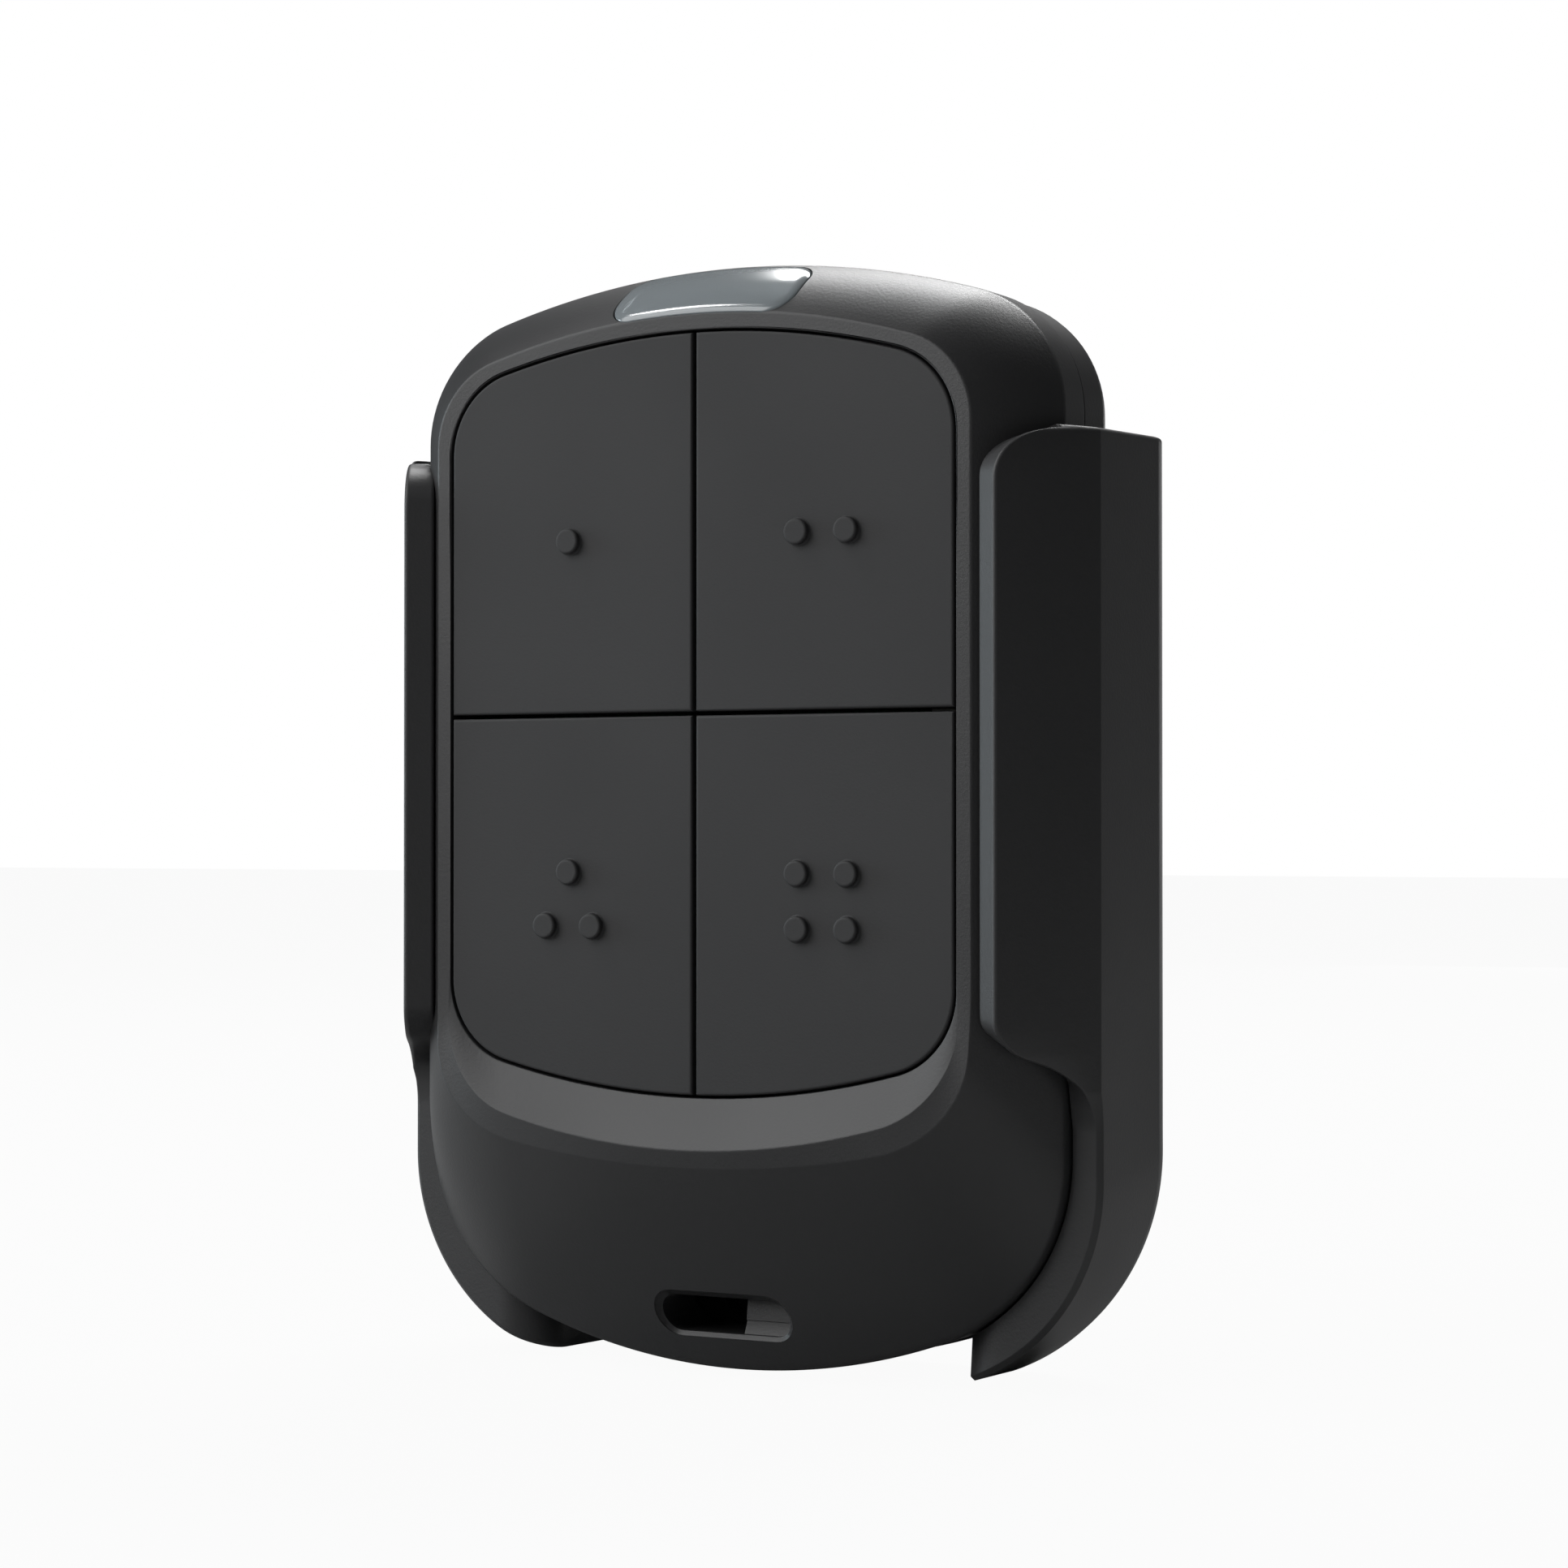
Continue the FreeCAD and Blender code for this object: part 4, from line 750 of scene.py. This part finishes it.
def cradle_paths():
    """The well's and the tub's paths, the tub's wider path at the wall, and the way square to the
    path. The stations lie close together at the wing's upper corner and at its lower end."""
    heights = np.concatenate([
        TOP - 4.25 * (1 - np.cos(np.linspace(0, math.pi / 2, 24))), np.linspace(10.5, -16.3, 22),
        np.linspace(-16.6, -23.1, 60), [-25.0],
    ])
    inner, outer, wide = (tub_path(sizes, heights) for sizes in (WELL, TUB, TUB_BACK))
    along = np.gradient(inner, axis=0)
    outwards = np.stack([-along[:, 1], along[:, 0]], 1)
    return inner, outer, wide, outwards / np.linalg.norm(outwards, axis=1, keepdims=True)


def cradle_band(sizes, side):
    """One side of the cradle: a section carried down the side wall, round the lower corner and along the
    lip to its end. Where there is a wing, the section's front corners move forward along the leaning
    flank to the wing's edges, and the outer face between them swells by a parabola. At the lip's end
    they fall back by a quarter circle, and at the top the section shrinks by a quarter circle."""
    inner, outer, wide, outwards = cradle_paths()
    near_top = np.clip(inner[:, 1] - TOP + sizes.top_edge, 0, None)
    shrink = sizes.top_edge - np.sqrt(sizes.top_edge ** 2 - near_top ** 2)
    roll = np.clip(LIP_END + LIP_ROLL - inner[:, 0], 0, LIP_ROLL) / LIP_ROLL
    recede = LIP_ROLL * (1 - np.sqrt(1 - roll ** 2))
    wide = wide + np.stack([0 * shrink, TOP_REAR_RISE * np.clip(wide[:, 1] / TOP, 0, 1)], 1)
    # Where the wing has ended, the front edges step back and inwards to those of the lip.
    settled = np.clip(wing_nose(outer[:, 1]) - 4.5, 0, 1) * LIP_SETBACK
    deeper = inner - outwards * PLATE_INSET
    inner = inner + outwards * shrink[:, None]
    outer, wide = outer - outwards * shrink[:, None], wide - outwards * shrink[:, None]
    tip, nose = wing_tip(inner[:, 1]), wing_nose(outer[:, 1])
    inside_lean = (WELL[0] - TIP_ACROSS) / (WELL_FRONT - TIP_DEPTH)
    outside_lean = (TUB[0] - NOSE_ACROSS) / (LIP_FRONT - NOSE_DEPTH)
    lean = inside_lean * np.clip(WELL_FRONT - tip, 0, None)
    slope = outside_lean * np.clip(LIP_FRONT - nose, 0, None)
    nose_edge = at(outer - outwards * (slope + settled)[:, None], nose + recede)
    shoulder = at(outer, LIP_FRONT + settled + recede)
    across, out = shoulder - nose_edge, at(outwards, 0)
    bulge = across[:, 1:2] * out - (across * out).sum(1, keepdims=True) * [0, 1, 0]
    # The bulge is as long as the face, so 0.55 makes the parabola on a wing about as high as its crown.
    face = [
        nose_edge + across * t + bulge * sizes.wing_crown * 0.55 * t * (1 - t)
        for t in (0.2, 0.4, 0.6, 0.8)
    ]
    corners = [
        at(deeper, CRADLE_BACK), at(deeper, PLATE_FRONT), at(inner, PLATE_FRONT),
        at(inner, np.maximum(tip, WELL_FRONT) + recede),
        at(inner - outwards * lean[:, None], tip + recede), nose_edge, *face, shoulder,
        at(wide, CRADLE_BACK - shrink),
    ]
    radii = [0, 0, 0.2, 0.3, sizes.edge, sizes.edge, *[0] * len(face), 0.25, sizes.back_soft]
    return skin(softened(corners, radii) * (side, 1, 1), wrap_stations=False, caps=True)


def plate_shape():
    """The middle of the cradle's back plate, cut straight between the lips. It reaches a little under the
    two sides, and is 0.01 mm thinner on both faces so that no two faces lie in one plane."""
    inner, _, _, outwards = cradle_paths()
    x = np.linspace(inner[-1, 0], 0, 24)
    bottom = np.stack([x, np.maximum(low_edge(x, WELL), PLATE_BOTTOM)], 1)
    half = np.concatenate([inner - outwards * (PLATE_INSET - 0.05), bottom])
    outline = np.concatenate([half, half[-2::-1] * (-1, 1)])
    return stacked([at(outline, PLATE_FRONT + 0.01), at(outline, CRADLE_BACK - 0.01)])


class RemoteOperator:
    """What every step of the remote shares."""

    bl_options = {"REGISTER", "UNDO"}


class REMOTE_OT_front(RemoteOperator, bpy.types.Operator):
    """Adds the front shell with its rim, ramp, chin and keyring slot"""

    bl_idname = "remote.front"
    bl_label = "Front Shell"

    def execute(self, context):
        sizes, tones = context.scene.remote_shell, context.scene.remote_colours
        plastic = moulded(
            "ABS, black, spark-eroded satin", tones.shell, rough=0.42, grain=0.18, depth=0.05,
        )
        *floors, through, mouth = slot_cutters(sizes.slot_chamfer)
        piece(
            "front_housing", front_shape(sizes), plastic, "remote", "front_shell",
            cutters=[*floors, through, mouth, window_seat()], slot="shell_plastic",
        )
        piece(
            "back_housing", back_shape(sizes), plastic, "remote", "back_shell",
            cutters=[through, *screw_seats()], slot="shell_plastic",
        )
        return {"FINISHED"}


def screw_seats():
    """Two turned solids that sink the housing screws into the back shell."""
    low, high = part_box("housing_screws")
    across, up = high.x / MM - SCREW_HEAD, (low.z + high.z) / 2 / MM
    return [turned(SCREW_SEAT, side * across, up) for side in (1, -1)]


class REMOTE_OT_window(RemoteOperator, bpy.types.Operator):
    """Adds the clear light window over the top edge"""

    bl_idname = "remote.window"
    bl_label = "Light Window"

    def execute(self, context):
        glass = clear("Polycarbonate, clear, polished", context.scene.remote_colours.window)
        piece(
            "light_window", window_shape(context.scene.remote_shell), glass, "remote", "lens",
            sharp=60, slot="clear_window",
        )
        return {"FINISHED"}


KEYS = {
    "one": (-1, 1, [(0, 0)]),
    "two": (1, 1, [(-0.5, 0), (0.5, 0)]),
    "three": (-1, -1, [(0, 0.5), (-0.5, -0.5), (0.5, -0.5)]),
    "four": (1, -1, [(-0.5, 0.5), (0.5, 0.5), (-0.5, -0.5), (0.5, -0.5)]),
}


class REMOTE_OT_keys(RemoteOperator, bpy.types.Operator):
    """Adds the four keys with their raised dots"""

    bl_idname = "remote.keys"
    bl_label = "Keys"

    def execute(self, context):
        tone = context.scene.remote_colours.keys
        plastic = moulded("ABS, black, fine matte", tone, rough=0.66, grain=0.16, depth=0.035)
        for name, (side, end, dots) in KEYS.items():
            low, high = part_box("stem_" + name)
            middle = ((low.x + high.x) / 2 / MM, (low.z + high.z) / 2 / MM)
            shape = key_shape(context.scene.remote_keys, side, end, dots, middle)
            piece("keycap_" + name, shape, plastic, "key_" + name, "key_" + name, slot="key_plastic")
        return {"FINISHED"}


class REMOTE_OT_cradle(RemoteOperator, bpy.types.Operator):
    """Adds the wall cradle: two side bands with their wings, and the back plate"""

    bl_idname = "remote.cradle"
    bl_label = "Cradle"

    def execute(self, context):
        sizes = context.scene.remote_cradle
        tone = context.scene.remote_colours.cradle
        plastic = moulded("ABS, black, cradle satin", tone, rough=0.46, grain=0.18, depth=0.05)
        for side, name in ((1, "right"), (-1, "left")):
            piece(
                "cradle_side_" + name, cradle_band(sizes, side), plastic, "cradle", "cradle",
                slot="cradle_plastic",
            )
        holes = [turned(WALL_SCREW_HOLE, 0, up) for up in WALL_SCREWS]
        piece(
            "cradle_plate", plate_shape(), plastic, "cradle", "cradle",
            cutters=holes, slot="cradle_plastic",
        )
        return {"FINISHED"}


class REMOTE_OT_insides(RemoteOperator, bpy.types.Operator):
    """Gives each carried-over part inside the remote its finish"""

    bl_idname = "remote.insides"
    bl_label = "Inner Parts"

    def execute(self, context):
        steel = metal("Steel, nickel plated, rolled", linear("#c9c8c4"), rough=0.3, brush=0.05)
        brass = metal("Copper, gold flashed", linear("#d9a653"), rough=0.28, brush=0.06)
        dark = metal("Steel, black zinc, turned", linear("#4a4a4c"), rough=0.38, brush=0.05)
        epoxy = moulded(
            "Epoxy, moulded chip package", linear("#1b1b1d"), rough=0.5, grain=0.1, depth=0.02,
        )
        nylon = moulded(
            "Nylon, moulded switch stem", linear("#28282a"), rough=0.5, grain=0.12, depth=0.02,
        )
        resin = moulded(
            "Epoxy, cast diode body", linear("#e8e2c4"), rough=0.25, grain=0.3, depth=0.01,
        )
        board = laminate("Glass epoxy, green solder resist")
        finishes = {
            "circuit_board": board, "antenna_track": brass, "cell_contact": brass,
            "coin_cell": steel, "cell_clip": steel, "switch_bodies": steel, "crystal": steel,
            "housing_screws": dark, "light_diode": resin,
            "controller_chip": epoxy, "radio_chip": epoxy, "surface_mount_parts": epoxy,
        }
        finishes.update({"stem_" + name: nylon for name in KEYS})
        for name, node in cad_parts.items():
            node.data.materials.clear()
            node.data.materials.append(finishes.get(name, epoxy))
        return {"FINISHED"}


def white_to_the_eye(name):
    """Matte white card that shows as plain white, with the object's shadow still faintly on it."""
    made, tree, out, place = material(name)
    path = add(tree, "ShaderNodeLightPath")
    seen = add(tree, "ShaderNodeMath", {
        0: path.outputs["Is Camera Ray"], 1: path.outputs["Is Transmission Ray"],
    }, operation="MAXIMUM")
    share = add(tree, "ShaderNodeMath", {0: seen.outputs[0], 1: 0.95}, operation="MULTIPLY")
    fibre = add(tree, "ShaderNodeTexNoise", {"Vector": place, "Scale": 0.5})
    tint = add(tree, "ShaderNodeMix", {
        0: fibre.outputs["Fac"], 6: linear("#a2a2a2"), 7: linear("#aaaaaa"),
    }, data_type="RGBA")
    card = add(tree, "ShaderNodeBsdfDiffuse", {"Color": tint.outputs[2]})
    glow = add(tree, "ShaderNodeEmission", {"Color": (1, 1, 1, 1), "Strength": 1.0})
    both = add(tree, "ShaderNodeMixShader", {
        0: share.outputs[0], 1: card.outputs[0], 2: glow.outputs[0],
    })
    tree.links.new(both.outputs[0], out.inputs[0])
    return made


def lamp(name, place, aim, width, height, radiance, tone=(1, 1, 1)):
    """Adds a soft rectangular lamp that shines from one point at another, which isn't straight above or
    below it, with a stated radiance."""
    data = bpy.data.lights.new(name, "AREA")
    data.shape, data.size, data.size_y, data.color = "RECTANGLE", width, height, tone
    data.energy = radiance * math.pi * width * height
    made = bpy.data.objects.new(name, data)
    towards = np.subtract(aim, place)
    back = -towards / np.linalg.norm(towards)
    right = np.cross((0, 0, 1), back)
    right /= np.linalg.norm(right)
    turn = np.eye(4)
    turn[:3, 0], turn[:3, 1], turn[:3, 2], turn[:3, 3] = right, np.cross(back, right), back, place
    made.matrix_world = Matrix(turn.tolist())
    made.visible_camera = False
    bpy.context.scene.collection.objects.link(made)


# Places and aims are in metres. After them come width, height, radiance and, for one, a colour.
LAMPS = [
    ("front softbox", (-0.267, -0.342, 0.248), (0, -0.01, 0), 0.42, 0.46, 2.72),
    ("rear top softbox", (-0.035, 0.28, 0.41), (0, 0, 0.02), 0.36, 0.12, 15.0),
    ("left strip", (-0.45, -0.1, 0.0), (0, 0, 0), 0.12, 0.36, 6.5, (0.82, 0.94, 1.0)),
    ("rear softbox", (-0.045, 0.605, -0.02), (0, 0, 0), 0.24, 0.26, 2.0),
    ("rear fill", (0.172, 0.595, 0.0), (0, 0, 0), 0.26, 0.3, 0.12),
    ("window lamp", (-0.24, -0.1, 0.42), (0, -0.01, 0.024), 0.07, 0.07, 18.0),
    ("camera fill", (0.27, -0.43, 0.03), (0, -0.01, 0), 0.2, 0.25, 0.2),
]
ROOM_LIGHT = 0.055
FLOOR_REACH, FLOOR_GAP = 2, 0.0002

# The photo's camera: degrees to the right and upwards, its place in millimetres with depths counted
# from the keys' front, its sensor's width, and its focal length in pixels of the photo's width.
YAW, PITCH = 28.0, 0.69588
CAMERA_PLACE = (98.75, -174.90, -6.41)
SENSOR, FOCAL_PIXELS, PHOTO_PIXELS = 36.0, 4400, 1932
CAMERA_NEAR = 0.01


class REMOTE_OT_stage(RemoteOperator, bpy.types.Operator):
    """Adds the floor, the surrounding light, the lamps and the camera"""

    bl_idname = "remote.stage"
    bl_label = "Studio"

    def execute(self, context):
        scene = context.scene
        scene.view_settings.view_transform = "Standard"
        floor = bpy.data.meshes.new("floor")
        low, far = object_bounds()[0].z - FLOOR_GAP, FLOOR_REACH
        corners = [(-far, -far, low), (far, -far, low), (far, far, low), (-far, far, low)]
        floor.from_pydata(corners, [], [(0, 1, 2, 3)])
        ground = bpy.data.objects.new("floor", floor)
        floor.materials.append(white_to_the_eye("Card, matte white"))
        scene.collection.objects.link(ground)
        ground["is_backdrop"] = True

        world = bpy.data.worlds.new("studio")
        world.use_nodes = True
        tree = world.node_tree
        tree.nodes.clear()
        path = add(tree, "ShaderNodeLightPath")
        plain = add(tree, "ShaderNodeBackground", {"Color": (1, 1, 1, 1), "Strength": 1.0})
        room = add(tree, "ShaderNodeBackground", {"Color": (0.95, 0.98, 1.0, 1), "Strength": ROOM_LIGHT})
        both = add(tree, "ShaderNodeMixShader", {
            0: path.outputs["Is Camera Ray"], 1: room.outputs[0], 2: plain.outputs[0],
        })
        out = add(tree, "ShaderNodeOutputWorld")
        tree.links.new(both.outputs[0], out.inputs[0])
        scene.world = world

        for settings in LAMPS:
            lamp(*settings)

        yaw, pitch = math.radians(YAW), math.radians(PITCH)
        right = (math.cos(yaw), math.sin(yaw), 0)
        ahead = (-math.sin(yaw) * math.cos(pitch), math.cos(yaw) * math.cos(pitch), math.sin(pitch))
        up = np.cross(right, ahead)
        turn = np.eye(4)
        turn[:3, 0], turn[:3, 1], turn[:3, 2] = right, up, np.negative(ahead)
        turn[:3, 3] = np.add(CAMERA_PLACE, (0, KEY_PLANE, 0)) * MM
        data = bpy.data.cameras.new("camera")
        data.sensor_width, data.lens = SENSOR, SENSOR * FOCAL_PIXELS / PHOTO_PIXELS
        data.clip_start = CAMERA_NEAR
        camera = bpy.data.objects.new("camera", data)
        camera.matrix_world = Matrix(turn.tolist())
        scene.collection.objects.link(camera)
        scene.camera = camera
        return {"FINISHED"}


STEPS = [
    REMOTE_OT_front, REMOTE_OT_window, REMOTE_OT_keys,
    REMOTE_OT_cradle, REMOTE_OT_insides, REMOTE_OT_stage,
]


class REMOTE_PT_sidebar(bpy.types.Panel):
    """The steps and sizes of the remote"""

    bl_label = "Remote"
    bl_idname = "REMOTE_PT_sidebar"
    bl_space_type = "VIEW_3D"
    bl_region_type = "UI"
    bl_category = "Remote"

    def draw(self, context):
        for step in STEPS:
            self.layout.operator(step.bl_idname)
        for group in (
            context.scene.remote_keys, context.scene.remote_shell,
            context.scene.remote_cradle, context.scene.remote_colours,
        ):
            for name in group.__annotations__:
                self.layout.prop(group, name)


GROUPS = {
    "remote_keys": RemoteKeySizes,
    "remote_shell": RemoteShellSizes,
    "remote_cradle": RemoteCradleSizes,
    "remote_colours": RemoteColours,
}


def register():
    for group in GROUPS.values():
        bpy.utils.register_class(group)
    for step in STEPS + [REMOTE_PT_sidebar]:
        bpy.utils.register_class(step)
    for name, group in GROUPS.items():
        setattr(bpy.types.Scene, name, PointerProperty(type=group))


def unregister():
    for name in GROUPS:
        delattr(bpy.types.Scene, name)
    for thing in [REMOTE_PT_sidebar, *STEPS, *GROUPS.values()]:
        bpy.utils.unregister_class(thing)


def main():
    register()
    bpy.ops.remote.front()
    bpy.ops.remote.window()
    bpy.ops.remote.keys()
    bpy.ops.remote.cradle()
    bpy.ops.remote.insides()
    bpy.ops.remote.stage()


if __name__ == "__main__":
    main()
